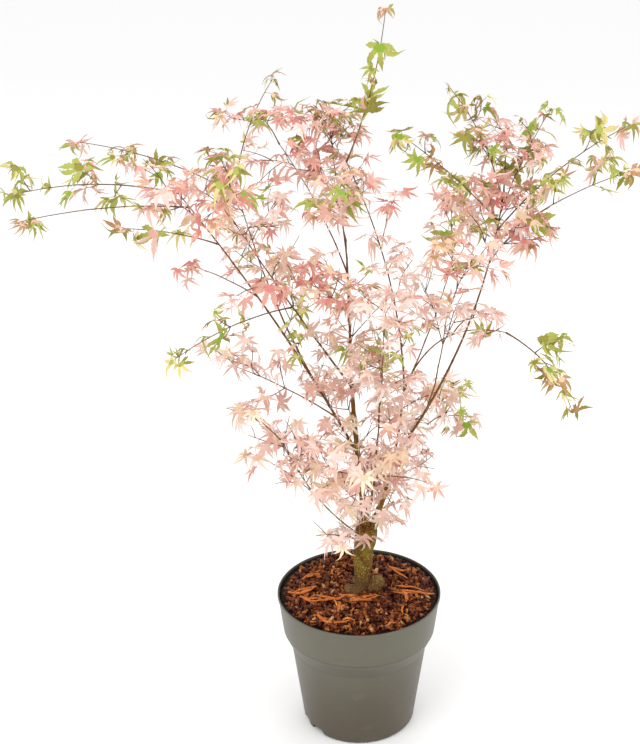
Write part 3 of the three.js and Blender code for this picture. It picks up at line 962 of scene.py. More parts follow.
    def make_chips(self) -> None:
        """Bark chips: jittered nuggets of twenty faces, drawn out, flattened, tilted and rolled at random.

        The chips are dealt out by tone, and each tone is one piece.
        """
        draw, count = np.random.default_rng(self.seed), self.chips
        corners, faces = nugget()
        least, span, power = self.chip_length
        length = least + span * draw.uniform(0, 1, count) ** power
        x, y = self.scatter(draw, 1.2 * length)
        width = np.maximum(self.chip_least[0], length * draw.uniform(*self.chip_width, count))
        depth = np.maximum(self.chip_least[1], length * draw.uniform(*self.chip_depth, count))
        shape = corners[None] * (1 + draw.normal(0, self.jitter, (count, len(corners), 3)))
        shape = shape * np.stack([length, width, depth], axis=-1)[:, None]
        yaw = draw.uniform(0, 2 * np.pi, count)
        spread, *shares = self.tumble
        tip, roll = draw.normal(0, spread, (2, count)) * np.array(shares)[:, None]
        z = self.bed(x, y) + draw.uniform(*self.chip_lift, count)
        frames = spins(2, yaw) @ spins(0, tip) @ spins(1, roll)
        points = np.einsum("nij,nvj->nvi", frames, shape) + np.stack([x, y, z], axis=-1)[:, None]
        tone = draw.choice(len(self.tones), count, p=[share for share, _ in self.tones])
        for k, (_, finish) in enumerate(self.tones):
            chosen = points[tone == k]
            start = np.arange(len(chosen))[:, None, None] * len(corners)
            surface = Surface()
            surface.add(chosen.reshape(-1, 3), (faces + start).reshape(-1, 3))
            surface.settle(finish.name + "s", finish.material(), "soil")

    def make_fibres(self) -> None:
        """Splinters and fibres: flat strips that taper and curve as they lie on the chips."""
        draw = np.random.default_rng(self.seed + 1)
        lines, widths = [], []
        t = np.linspace(0, 1, 9)
        for bearing, reach, way, size, count, spread in self.bundles:
            middle = polar(bearing, reach, 0)
            for _ in range(count):
                heading = math.radians(way + draw.normal(0, spread))
                length = size * draw.uniform(*self.fibre_length)
                along = np.array([math.cos(heading), math.sin(heading)])
                over = np.array([-along[1], along[0]])
                start = middle[:2] + draw.normal(0, self.stray, 2)
                curve = draw.normal(0, self.fibre_curve) * length
                run = (t - 0.5)[:, None] * length * along + (t * (1 - t) * 4 * curve)[:, None] * over
                place = start + run
                rim = self.edge - self.clear
                place = place * (rim / np.maximum(np.hypot(*place.T), rim))[:, None]
                height = self.bed(*place.T) + self.fibre_lift[0] + draw.uniform(0, self.fibre_lift[1])
                height = height + draw.normal(0, self.fibre_tilt) * (t - 0.5) * 2
                lines.append(np.column_stack([place, height]))
                taper = 0.35 + 0.65 * np.sin(np.pi * (0.08 + 0.84 * t))
                widths.append(draw.uniform(*self.fibre_width) * taper)
        surface = Surface()
        surface.tubes(np.array(lines), np.array(widths), 6, 0.5)
        surface.settle("coir_fibres", self.coir.material(), "soil")

    def build(self) -> None:
        """Makes the bed, the chips and the fibres."""
        self.make_bed()
        self.make_chips()
        self.make_fibres()


# ---- trunk and boughs


@dataclass
class Wood:
    """The trunk and the boughs, on the same routes as their solids, with the relief of their bark.

    A limb's row is name, parent, share of the parent's length where it starts, bearing, reach and height of
    its tip, bow, sway, and the radii of its solid at foot and tip. slim and stout_slim are the shares of
    those radii that show, collar the size and the length of the swelling at a limb's foot, and ring those
    of the one at a node. A root's row is its foot, its tip, its bow and its radius.

    Of the trunk, flare is the size of the root lobes and flare_top where they end, swell where it widens to
    the fork, dome where its round end starts and how long it is, and pinch the depth, the place and the
    width of its waist. A row of relief is depth, seed, rings and pitch, and bump is height, width and length.
    root_relief and limb_relief are such rows whose depth is a share of the radius.
    """

    trunk_foot: Triple = (5.0, 0.0, 161.0)
    trunk_fork: Triple = (10.0, 0.0, 257.0)
    foot_radius: float = 9.5
    waist_radius: float = 10.0
    fork_radius: float = 12.5
    flare: float = 0.95
    flare_top: float = 0.3
    swell: Pair = (0.3, 0.9)
    dome: Pair = (0.93, 0.075)
    pinch: Triple = (0.17, 0.2, 0.15)
    sway: float = 1.8
    lobes: tuple[float, ...] = (202.0, 338.0, 85.0)
    relief: tuple[tuple, ...] = (
        (0.28, 3, (5, 7, 9, 12, 15, 19), 60),
        (0.16, 5, (21, 26, 31, 37), 14),
        (0.45, 8, (2, 3, 4), 45),
    )
    bumps: int = 150
    bump: Triple = (0.42, 0.9, 0.7)
    roots: tuple[tuple, ...] = (
        ((7.0, -3.0, 162.0), (25.0, -3.0, 188.0), -0.05, 8.6),
        ((2.0, -3.0, 165.0), (-17.0, -8.0, 170.5), 0.12, 8.8),
        ((4.0, 6.0, 162.0), (-8.0, 16.0, 172.0), 0.2, 6.0),
    )
    root_dome: Pair = (0.78, 0.22)
    root_relief: tuple = (0.14, 60, (1, 2, 3, 5, 8), 26)
    limb_relief: tuple = (0.07, 100, (2, 3, 5, 7), 30)
    slim: Pair = (0.47, 0.34)
    stout: tuple[str, ...] = ("stem_left", "stem_right")
    stout_slim: Pair = (0.74, 0.54)
    sink: float = 2.2
    internode: float = 34.0
    kink: float = 0.5
    collar: Pair = (0.55, 7.0)
    ring: Pair = (0.26, 1.6)
    rows: tuple[tuple, ...] = (
        ("stem_left", "trunk", 0.9, 135, 14, 461, 0, 0.02, 5.6, 3.2),
        ("stem_right", "trunk", 0.84, 353, 39, 345, -0.04, 0.05, 5.2, 3.6),
        ("stem_middle", "trunk", 0.92, 319, 30, 418, 0.02, 0.03, 3, 2),
        ("bough_left", "stem_left", 0.46, 195, 188, 662, 0.02, -0.03, 3.4, 1.6),
        ("bough_left_back", "bough_left", 0.29, 145, 166, 630, -0.01, 0.03, 2.4, 1.4),
        ("bough_left_front", "stem_left", 0.83, 228, 176, 655, 0.01, -0.03, 2.6, 1.4),
        ("bough_back", "stem_left", 1, 112, 75, 667, 0.02, -0.02, 2.9, 1.5),
        ("bough_front", "stem_left", 0.93, 261, 81, 622, -0.02, 0, 2.3, 1.4),
        ("bough_back_left", "bough_back", 0.42, 121, 176, 662, 0.05, 0, 1.8, 1.3),
        ("stem_inner", "stem_right", 0.93, 22, 54, 426, 0.02, -0.03, 2.8, 2.2),
        ("leader", "stem_inner", 1, 145, 17, 679, 0.05, 0, 2.2, 1.4),
        ("bough_right", "stem_right", 1, 352, 149, 655, -0.06, 0.02, 3.4, 1.7),
        ("bough_right_back", "stem_inner", 0.9, 50, 168, 530, -0.05, 0, 2, 1.3),
        ("bough_right_front", "bough_right", 0.2, 308, 140, 551, -0.06, 0, 2.1, 1.3),
        ("bough_arching", "stem_inner", 0.85, 326, 179, 531, 0.15, 0, 2, 1.3),
        ("bough_low_left", "trunk", 0.8, 217, 101, 390, -0.06, 0, 2, 1.3),
        ("bough_low_back", "bough_left", 0.14, 151, 163, 419, 0.03, 0, 1.9, 1.3),
        ("bough_low_front", "stem_middle", 0.35, 262, 105, 360, 0.04, 0, 1.9, 1.3),
        ("bough_low_right", "stem_inner", 0.45, 40, 105, 350, 0.1, 0, 1.9, 1.3),
        ("bough_middle_front", "stem_middle", 1, 281, 128, 540, -0.04, 0, 1.8, 1.3),
    )
    limbs: dict[str, Limb] = field(default_factory=dict)

    def __post_init__(self) -> None:
        """Works out every limb's path from its parent's."""
        foot, fork = np.array(self.trunk_foot), np.array(self.trunk_fork)
        trunk = Path(foot, fork, nodes=7.0)
        trunk.middle = np.array([foot[0], foot[1], (foot[2] + fork[2]) / 2])
        self.limbs["trunk"] = Limb(trunk, self.foot_radius, self.fork_radius)
        for name, parent, at, bearing, reach, height, bow, sway, thick, thin in self.rows:
            start = self.limbs[parent].path.foothold(at, self.sink)
            path = Path(start, polar(bearing, reach, height), bow, sway, self.kink)
            path.nodes = max(2.0, round(path.length / self.internode))
            self.limbs[name] = Limb(path, thick, thin)

    def make_trunk(self) -> None:
        """The trunk: a waist over three root lobes and a swollen fork, under a relief of cracks and specks.

        Its radius is the shaft's, times the waist's pinch and one plus the lobes' share, plus waves and
        small round bumps.
        """
        steps, sides = 190, 108
        rise = self.trunk_fork[2] - self.trunk_foot[2]
        share = np.linspace(0, 1, steps)[:, None]
        turn = ring_turns(sides)[None, :]
        centres = self.limbs["trunk"].path.points(share[:, 0])[None]
        centres[..., 0] -= self.sway * np.sin(np.pi * share[:, 0])
        across, over = (side[0, :, None] for side in frames_along(centres))
        ring = np.cos(turn)[..., None] * across + np.sin(turn)[..., None] * over
        bearing = np.arctan2(ring[..., 1], ring[..., 0])
        upper = self.waist_radius + (self.fork_radius - self.waist_radius) * smooth(share, *self.swell)
        shaft = self.foot_radius + (upper - self.foot_radius) * np.minimum(1, share / self.pinch[1])
        fade = np.maximum(0, 1 - share / self.flare_top) ** 2
        lobe = sum(np.maximum(0, np.cos(bearing - math.radians(b))) ** 8 for b in self.lobes)
        depth, place, width = self.pinch
        pinch = 1 - depth * np.exp(-(((share - place) / width) ** 2))
        radius = shaft * pinch * (1 + self.flare * fade * lobe) * round_end(share, *self.dome)
        along = share * rise
        relief = sum(depth * waves(bearing, along, *wave) for depth, *wave in self.relief)
        spots = np.random.default_rng(9).uniform((0, -np.pi), (rise, np.pi), (self.bumps, 2))
        depth, wide, tall = self.bump
        dy = (along[..., None] - spots[:, 0]) / tall
        dx = ((bearing[..., None] - spots[:, 1] + np.pi) % (2 * np.pi) - np.pi) * self.waist_radius / wide
        relief = relief + depth * np.exp(-(dx**2) - dy**2).sum(axis=-1)
        surface = Surface()
        surface.tubes(centres, (radius + relief)[None], sides)
        self.add_roots(surface)
        surface.settle("trunk_bark", TrunkBark().material(), "bark", ["trunk"])

    def add_roots(self, surface: Surface) -> None:
        """Old root stubs at the foot: bowed tubes with round ends, under a few waves of relief.

        Args:
            surface: what they are added to.
        """
        sides, share = 36, np.linspace(0, 1, 44)
        depth, seed, *wave = self.root_relief
        for number, (foot, tip, bow, radius) in enumerate(self.roots):
            centres = Path(np.array(foot), np.array(tip), bow).points(share)[None]
            rough = waves(ring_turns(sides), (share * 34)[:, None], seed + number, *wave)
            size = radius * round_end(share, *self.root_dome)[:, None]
            surface.tubes(centres, (size * (1 + depth * rough))[None], sides)

    def make_limb(self, name: str, number: int, material: Material) -> None:
        """A bough: a taper with a collar at its foot, a ring at every node and a fine relief.

        Args:
            name: the limb's name.
            number: its place among the limbs, which says which relief it gets.
            material: its finish.
        """
        limb = self.limbs[name]
        path, sides = limb.path, 16
        share = np.linspace(0, 1, max(24, int(path.length / 2.2)))
        foot, tip = self.stout_slim if name in self.stout else self.slim
        radius = Limb(path, foot * limb.thick, tip * limb.thin).radii(share)
        away = share * path.length
        collar = 1 + self.collar[0] * np.exp(-away / self.collar[1])
        gaps = (share[:, None] - np.arange(1, int(path.nodes)) / path.nodes) * path.length
        rings = self.ring[0] * np.exp(-((gaps / self.ring[1]) ** 2)).sum(axis=1)
        depth, seed, *wave = self.limb_relief
        rough = waves(ring_turns(sides), away[:, None], seed + number, *wave)
        skin = (radius * (collar + rings))[:, None] * (1 + depth * rough)
        surface = Surface()
        surface.tubes(path.points(share)[None], skin[None], sides)
        surface.settle(name + "_bark", material, "branch", [name])

    def build(self) -> None:
        """Makes the trunk and every bough."""
        self.make_trunk()
        bark = BoughBark().material()
        for number, name in enumerate(self.limbs):
            if name != "trunk":
                self.make_limb(name, number, bark)


# ---- leaves


class Tint(Enum):
    """The plain colours that the leaves are dealt, each one piece of the foliage, with their slots."""

    ROSE = ((218, 140, 132), "leaf_pink")
    SALMON = ((224, 168, 152), "leaf_pink")
    PINK = ((230, 190, 175), "leaf_pink")
    BLUSH = ((240, 214, 202), "leaf_blush")
    PEACH = ((230, 198, 166), "leaf_peach")
    CREAM = ((243, 227, 198), "leaf_peach")
    STRAW = ((222, 208, 142), "leaf_green")
    TAN = ((190, 146, 102), "leaf_green")
    OLIVE = ((146, 140, 56), "leaf_green")
    LIME = ((172, 176, 84), "leaf_green")
    GREEN = ((136, 168, 50), "leaf_green")


ROSE, SALMON, PINK, BLUSH, PEACH, CREAM, STRAW, TAN, OLIVE, LIME, GREEN = Tint
Tints = tuple[Tint, Tint, Tint]


@dataclass(frozen=True)
class LeafForm:
    """A palmate leaf: lobes that meet in notches round the end of the stalk.

    half holds (angle, length) from the middle lobe, whose length is 1, to the outermost, and the lobes on
    the other side mirror them. shoulder is how far the outermost notches lie from their lobes, in degrees,
    and from the stalk. widths holds (share of the lobe, half width) from the notch to near the tip. The
    last share is drawn out to a point. bend is how wildly the lobes curl and swing.
    """

    half: tuple[Pair, ...]
    notch: float
    shoulder: Pair
    widths: tuple[Pair, ...]
    bend: float = 1.0

    @property
    def lobes(self) -> Array:
        """All lobes from one side to the other, as rows of (angle, length)."""
        return np.array([(-angle, length) for angle, length in self.half[:0:-1]] + [*self.half], float)

    def template(self) -> dict[str, Array]:
        """The leaf's vertices and faces as arrays.

        Returns:
            left and right, the lobes that each vertex follows; reach, its share of the lobe; apart, its
            place across the lobe; own, whether it lies on a lobe and not in a notch; turn, an angle added
            outside the outer lobes; faces, with -1 as the fourth corner of a triangle; and half and zone,
            the half lobe of each face and its place from the heart to the tip.
        """
        vertices = [(0, 0, 0, 0, 0, 0)]

        def vertex(*row: float) -> int:
            """Adds a vertex and gives its number."""
            vertices.append(row)
            return len(vertices) - 1

        last = len(self.lobes) - 1
        angle, short = self.shoulder
        notches = [vertex(0, 0, short, 0, 0, -angle)]
        notches += [vertex(i, i + 1, self.notch, 0, 0, 0) for i in range(last)]
        notches += [vertex(last, last, short, 0, 0, angle)]
        faces, halves, zones = [], [], []
        for i in range(last + 1):
            spine = [vertex(i, i, self.notch, 0, 1, 0)]
            edges = [[notches[i]], [notches[i + 1]]]
            for share, half in self.widths:
                for line, across in zip((spine, *edges), (0, -half, half)):
                    line.append(vertex(i, i, share, across, 1, 0))
            tip = vertex(i, i, 1, 0, 1, 0)
            for edge, forward in zip(edges, (True, False)):
                quads = zip(spine, edge, edge[1:], spine[1:])
                ends = (0, edge[0], spine[0]), (spine[-1], edge[-1], tip)
                for zone, face in enumerate([ends[0], *quads, ends[1]]):
                    corners = face if forward else face[::-1]
                    faces.append((*corners, -1)[:4])
                    halves.append(2 * i + forward)
                    zones.append(zone)
        columns = np.array(vertices, float).T
        shape = dict(zip(("left", "right", "reach", "apart", "own", "turn"), columns))
        return {**shape, "faces": np.array(faces), "half": np.array(halves), "zone": np.array(zones)}


SEVEN = ((0, 1), (37, 0.95), (74, 0.76), (112, 0.5))
STAR = LeafForm(SEVEN, 0.23, (34, 0.1), ((0.42, 0.09), (0.73, 0.036)), 1.3)
FIVE = LeafForm(((0, 1), (49, 0.92), (98, 0.62)), 0.24, (40, 0.12), ((0.44, 0.1), (0.73, 0.042)), 1.4)
THREAD = LeafForm(((0, 1), (25, 0.86), (58, 0.55)), 0.24, (36, 0.1), ((0.48, 0.072), (0.75, 0.044)), 1.8)
TEETH = ((0.42, 0.09), (0.5, 0.135), (0.57, 0.1), (0.67, 0.11), (0.76, 0.06))
TOOTHED = LeafForm(((0, 1), (40, 0.88), (84, 0.58)), 0.26, (40, 0.13), TEETH, 1.3)
YOUNG = LeafForm(((0, 1), (30, 0.8)), 0.3, (26, 0.1), ((0.6, 0.06),))
FORMS = (STAR, FIVE, THREAD, TOOTHED, YOUNG)


@dataclass
class Leaf:
    """One leaf: where its stalk starts and ends, its frame, its size, its shape and its colours."""

    root: Array
    joint: Array
    out: Array
    forward: Array
    normal: Array
    size: float
    form: LeafForm
    tints: Tints
    splashes: int = 0

    @property
    def middle(self) -> Array:
        """The middle of its blade."""
        return self.joint + 0.35 * self.size * self.forward


# ---- how the foliage grows


class Ply(Enum):
    """The layers of the crown, each with its own habit and colours, by the names that rows use."""

    UPPER = "spray"
    MIDDLE = "blush"
    LOWER = "peach"
    SHOOT = "shoot"


# For each layer: weight, and the tints of a leaf's heart, of its lobes and of the half lobes that differ.
PALETTE: dict[Ply, tuple[tuple, ...]] = {
    Ply.UPPER: (
        (0.15, ROSE, SALMON, ROSE),
        (0.15, SALMON, PINK, ROSE),
        (0.13, SALMON, SALMON, PINK),
        (0.11, PINK, BLUSH, SALMON),
        (0.10, TAN, PEACH, SALMON),
        (0.13, SALMON, SALMON, OLIVE),
        (0.09, PEACH, PEACH, ROSE),
        (0.03, OLIVE, LIME, PINK),
        (0.11, PEACH, PINK, OLIVE),
    ),
    Ply.MIDDLE: (
        (0.17, BLUSH, BLUSH, SALMON),
        (0.18, PINK, BLUSH, PEACH),
        (0.20, PINK, BLUSH, PINK),
        (0.15, BLUSH, BLUSH, PEACH),
        (0.12, PEACH, PINK, OLIVE),
        (0.05, PEACH, PEACH, ROSE),
        (0.07, GREEN, LIME, STRAW),
        (0.06, STRAW, LIME, PINK),
    ),
    Ply.LOWER: (
        (0.26, BLUSH, BLUSH, PINK),
        (0.24, PEACH, BLUSH, SALMON),
        (0.18, PINK, PINK, BLUSH),
        (0.14, PEACH, CREAM, BLUSH),
        (0.10, SALMON, PINK, SALMON),
        (0.04, PEACH, PEACH, PINK),
        (0.04, PEACH, BLUSH, LIME),
    ),
    Ply.SHOOT: (
        (0.22, OLIVE, LIME, STRAW),
        (0.18, OLIVE, OLIVE, SALMON),
        (0.14, LIME, STRAW, OLIVE),
        (0.12, TAN, TAN, OLIVE),
        (0.10, GREEN, LIME, STRAW),
        (0.14, PEACH, TAN, OLIVE),
        (0.10, SALMON, PINK, LIME),
    ),
}


@dataclass(frozen=True)
class Habit:
    """How foliage grows: node spacings, share of nodes with twigs, lengths in millimetres, and postures.

    droop holds the middle and the spread of a blade's fall below the level in degrees, roll the spread of
    its tilt sideways, forms the weights of the leaf forms in their own order, and missing the share of
    leaves that are left out.
    """

    node: float
    twig_share: float
    twig: Pair
    twig_node: float
    blade: Pair
    stalk: Pair
    droop: Pair
    roll: float
    forms: tuple[float, float, float, float]
    missing: float = 0.0


HABITS = {
    Ply.SHOOT: Habit(21, 0.24, (12, 30), 14, (16, 25), (4, 10), (38, 34), 42, (0.08, 0.12, 0.55, 0.25), 0.08),
    Ply.UPPER: Habit(17, 0.72, (22, 50), 15, (17, 24), (6, 15), (14, 26), 30, (0.32, 0.22, 0.40, 0.06)),
    Ply.MIDDLE: Habit(17, 0.72, (22, 50), 15, (17, 24), (6, 15), (18, 26), 30, (0.42, 0.28, 0.26, 0.04)),
    Ply.LOWER: Habit(17, 0.7, (22, 50), 16, (19, 26), (6, 15), (28, 26), 30, (0.56, 0.34, 0.1, 0.0)),
}


@dataclass
class Growth:
    """The rule that all foliage grows by: angles in degrees, lengths in millimetres.

    spread is the angle of twigs and leaves from their stem, lift how much twigs turn up, fan the turns of
    a stem's last leaves, tries the turns that a leaf may take to find room, and turn how far each goes.
    low_top and middle_top part the layers of the side sprays, and sprays above young take the colours of
    young shoots. steady is the share of leaves in their spray's own colours, and splashed the share with
    half lobes that differ. end, tuft and toothed are the sizes of a twig's last leaves, of the young ones
    between them and of toothed leaves, and a leaf under small is a young one. No leaf hangs lower than
    above_soil over the trunk's foot. Blades stay apart times the sum of their sizes from each other and
    wood_clear off the limbs, and may reach over past the solids. Radii are those at foot and tip.

    A stalk's heading whose level part is under steep's first is pushed sideways by its second. kneel is how
    much a stalk turns to its blade, stalk_bend the share of its length where it bends, and wobble the bow
    of twigs and of side sprays. From node_shift on, a stem's nodes keep equal steps, and a twig's start at
    twig_bare. swelling is the size and the steepness of a twig's foot.
    """

    first_node: float = 0.3
    spread: Pair = (52.0, 8.0)
    side_spread: Pair = (50.0, 9.0)
    lift: float = 0.3
    fan: tuple[float, ...] = (0.0, 85.0, -85.0)
    tries: int = 9
    turn: float = 24.0
    low_top: float = 430.0
    middle_top: float = 600.0
    young: float = 712.0
    steady: float = 0.7
    splashed: float = 0.75
    end: float = 0.92
    tuft: float = 0.5
    toothed: float = 1.3
    small: float = 0.75
    stem_radii: Pair = (0.8, 0.38)
    side_radius: float = 0.6
    twig_radii: Pair = (0.62, 0.32)
    stalk_radii: Pair = (0.34, 0.24)
    steep: Pair = (0.35, 0.6)
    kneel: float = 0.25
    stalk_bend: float = 0.6
    wobble: Pair = (0.06, 0.05)
    node_shift: float = 0.3
    twig_bare: float = 0.4
    swelling: Pair = (0.4, 18.0)
    above_soil: float = 10.0
    apart: float = 0.33
    wood_clear: float = 1.5
    over: float = 4.0
    seed: int = 2024


@dataclass(frozen=True)
class Blade:
    """How much blades differ: angle and length from lobe to lobe, curl and sickle as middle, spread from lobe
    to lobe and spread from leaf to leaf, and the ranges of a leaf's cup, fold and width. whole_angle is the
    share by which a leaf's lobes spread wider or narrower."""

    whole_angle: float = 0.08
    angle: float = 0.07
    length: float = 0.07
    curl: Triple = (0.1, 0.2, 0.16)
    sickle: Triple = (0.0, 0.24, 0.14)
    ranges: tuple[Pair, ...] = ((0.02, 0.34), (0.2, 1.1), (0.85, 1.2))


@dataclass(frozen=True)
class Side:
    """Side sprays that a limb carries: from which share, the chance at a node near its foot and its tip,
    their length, how full they are, how far their leaves may stand from them and how much they rise."""

    first: float
    chance: Pair
    length: Pair
    fullness: float = 0.85
    girth: float = 34.0
    lift: float = 0.3


SIDES: dict[str, Side] = {
    "trunk": Side(0.65, (1.0, 1.0), (16, 30), 0.9, 30),
    "stem_left": Side(0.05, (1.0, 0.5), (24, 56)),
    "stem_right": Side(0.2, (1.0, 0.7), (24, 48), 0.9, 40),
    "stem_middle": Side(0.1, (0.9, 0.6), (20, 46)),
    "bough_left": Side(0.05, (0.6, 0.0), (28, 54)),
    "bough_left_back": Side(0.4, (0.6, 0.8), (26, 54), 1.0),
    "bough_left_front": Side(0.1, (0.1, 0.3), (22, 44)),
    "bough_back": Side(0.55, (1.0, 1.0), (28, 56), 1.1, 44, 0.3),
    "bough_front": Side(0.05, (0.3, 0.5), (24, 46)),
    "bough_back_left": Side(0.65, (0.5, 0.5), (26, 50), 0.9),
    "stem_inner": Side(0.15, (0.7, 0.8), (24, 48), 0.85, 34, -0.3),
    "leader": Side(0.2, (0.1, 0.5), (24, 50)),
    "bough_right": Side(0.78, (1.0, 1.0), (30, 52), 1.4, 38),
    "bough_right_back": Side(0.3, (0.3, 0.3), (24, 46)),
    "bough_right_front": Side(0.5, (0.6, 0.6), (22, 46), 0.85, 34, 1.4),
    "bough_arching": Side(0.6, (0.0, 0.9), (16, 30), 0.9, 26),
    "bough_low_left": Side(0.55, (1.0, 0.8), (28, 50), 1.0, 36, 1.4),
    "bough_low_back": Side(0.3, (0.8, 0.9), (22, 44), 1.0, 32),
    "bough_low_front": Side(0.15, (0.8, 0.8), (22, 44)),
    "bough_low_right": Side(0.2, (0.7, 0.7), (22, 44)),
    "bough_middle_front": Side(0.1, (0.5, 0.4), (22, 42)),
}

# A mass's row is name, limb, share of the limb's length where it starts, bearing, reach and height of its
# tip, bow, girth and layer, and then how it differs from PLAIN: its fullness, the share of its girth, how
# far it may reach past the halfway line to the next mass and how high it may grow.
PLAIN = (1.0, 1.0, 9.0, 900.0)
MASS_ROWS: tuple[tuple, ...] = (
    ("spray_leader", "leader", 1, 37, 33, 829, -0.04, 46, "shoot", 0.8, 0.6),
    ("spray_crown", "bough_back", 1, 111, 88, 706, 0, 62, "spray", 2.4, 1.15, 30, 722),
    ("spray_centre", "bough_front", 1, 258, 104, 672, 0, 62, "spray", 0.9, 0.9),
    ("spray_centre_low", "bough_front", 0.5, 249, 110, 577, 0, 56, "spray", 0.8, 0.9),
    ("spray_heart", "leader", 0.6, 0, 30, 628, 0, 56, "spray", 0.35),
    ("shoot_left_upper", "bough_left_back", 1, 133, 137, 743, 0.06, 48, "shoot", 0.8, 0.9),
    ("spray_back_left", "bough_back_left", 1, 123, 210, 692, 0.04, 62, "spray", 1.0, 1.3, 25, 700),
    ("shoot_left_top", "bough_left_back", 0.94, 172, 295, 690, 0.05, 46, "shoot", 0.35, 0.8),
    ("shoot_left_middle", "bough_left", 1, 188, 347, 659, 0.06, 48, "shoot", 1.0, 0.8),
    ("shoot_left_low", "bough_left", 0.94, 199, 344, 650, 0.04, 46, "shoot", 0.2, 0.5),
    ("spray_left_upper", "bough_left", 0.86, 203, 215, 673, 0.04, 56, "spray", 1.2, 1.0, 15, 700),
    ("shoot_left_under", "bough_left", 0.8, 185, 243, 615, 0.04, 42, "shoot", 0.8, 0.8),
    ("spray_left_small", "bough_left", 0.6, 174, 184, 562, 0.04, 36, "spray", 0.25, 0.8),
    ("spray_left_front", "bough_left_front", 1, 232, 212, 684, 0.04, 62, "spray", 1.0, 1.0, 20),
    ("spray_left_front_low", "bough_left_front", 0.62, 234, 196, 592, 0.05, 60, "spray", 0.15, 0.75),
    ("shoot_left_hanging", "bough_left_front", 0.5, 211, 212, 508, 0.06, 46, "shoot", 0.9, 0.7),
    ("spray_left_inner", "bough_left_back", 0.45, 155, 85, 545, 0.05, 56, "spray", 0.6, 0.9),
    ("spray_low_back", "bough_low_back", 1, 147, 206, 428, 0.05, 60, "peach", 0.15, 0.8),
    ("spray_low_left", "bough_low_left", 1, 219, 148, 440, 0.03, 60, "peach", 0.4, 0.6, 12),
    ("spray_low_left_out", "bough_low_left", 0.5, 201, 120, 366, 0.05, 56, "peach", 0.1, 0.7),
    ("spray_foot", "trunk", 0.7, 244, 61, 272, 0.06, 44, "peach", 1.0, 0.75),
    ("spray_low_front", "bough_low_front", 1, 262, 145, 400, 0.04, 60, "peach", 0.9, 0.9),
    ("spray_low_front_right", "bough_low_front", 0.4, 312, 106, 352, 0.08, 54, "peach", 0.15, 0.8),
    ("spray_low_right", "bough_low_right", 1, 43, 150, 352, 0.05, 58, "blush"),
    ("spray_middle_front", "bough_middle_front", 1, 279, 164, 588, 0.03, 62, "blush", 0.35, 0.9),
    ("spray_middle", "stem_middle", 0.85, 290, 66, 492, 0, 54, "blush", 0.6, 0.9),
    ("spray_right_back", "bough_right_back", 1, 55, 184, 592, 0.03, 62, "spray", 1.1, 1.0, 20),
    ("spray_right_front", "bough_right_front", 1, 306, 178, 620, 0.03, 62, "spray", 1.3, 0.85, 12, 640),
    ("shoot_arching", "bough_arching", 1, 331, 244, 458, 0.1, 50, "shoot", 1.4, 1.1),
    ("spray_arching", "bough_arching", 0.6, 316, 180, 560, 0.08, 50, "peach", 0.2, 0.6),
    ("spray_right", "bough_right", 0.76, 342, 185, 636, 0.05, 56, "spray", 1.0, 0.7, 15),
    ("spray_right_upper", "bough_right", 1, 10, 156, 708, 0.03, 62, "spray", 1.2, 1.0, 50, 714),
    ("shoot_crossing", "bough_right", 0.9, 13, 43, 706, 0.03, 42, "shoot"),
    ("shoot_right_top", "bough_right", 0.96, 12, 95, 751, 0.08, 44, "shoot", 1.5),
    ("shoot_right_high", "bough_right", 0.93, 22, 222, 716, 0.05, 46, "shoot"),
    ("shoot_right_far", "bough_right", 0.87, 4, 280, 714, 0.06, 44, "shoot", 0.5, 0.75),
    ("shoot_right_out", "bough_right", 0.82, 350, 272, 682, 0.05, 50, "shoot", 0.6, 0.8),
)


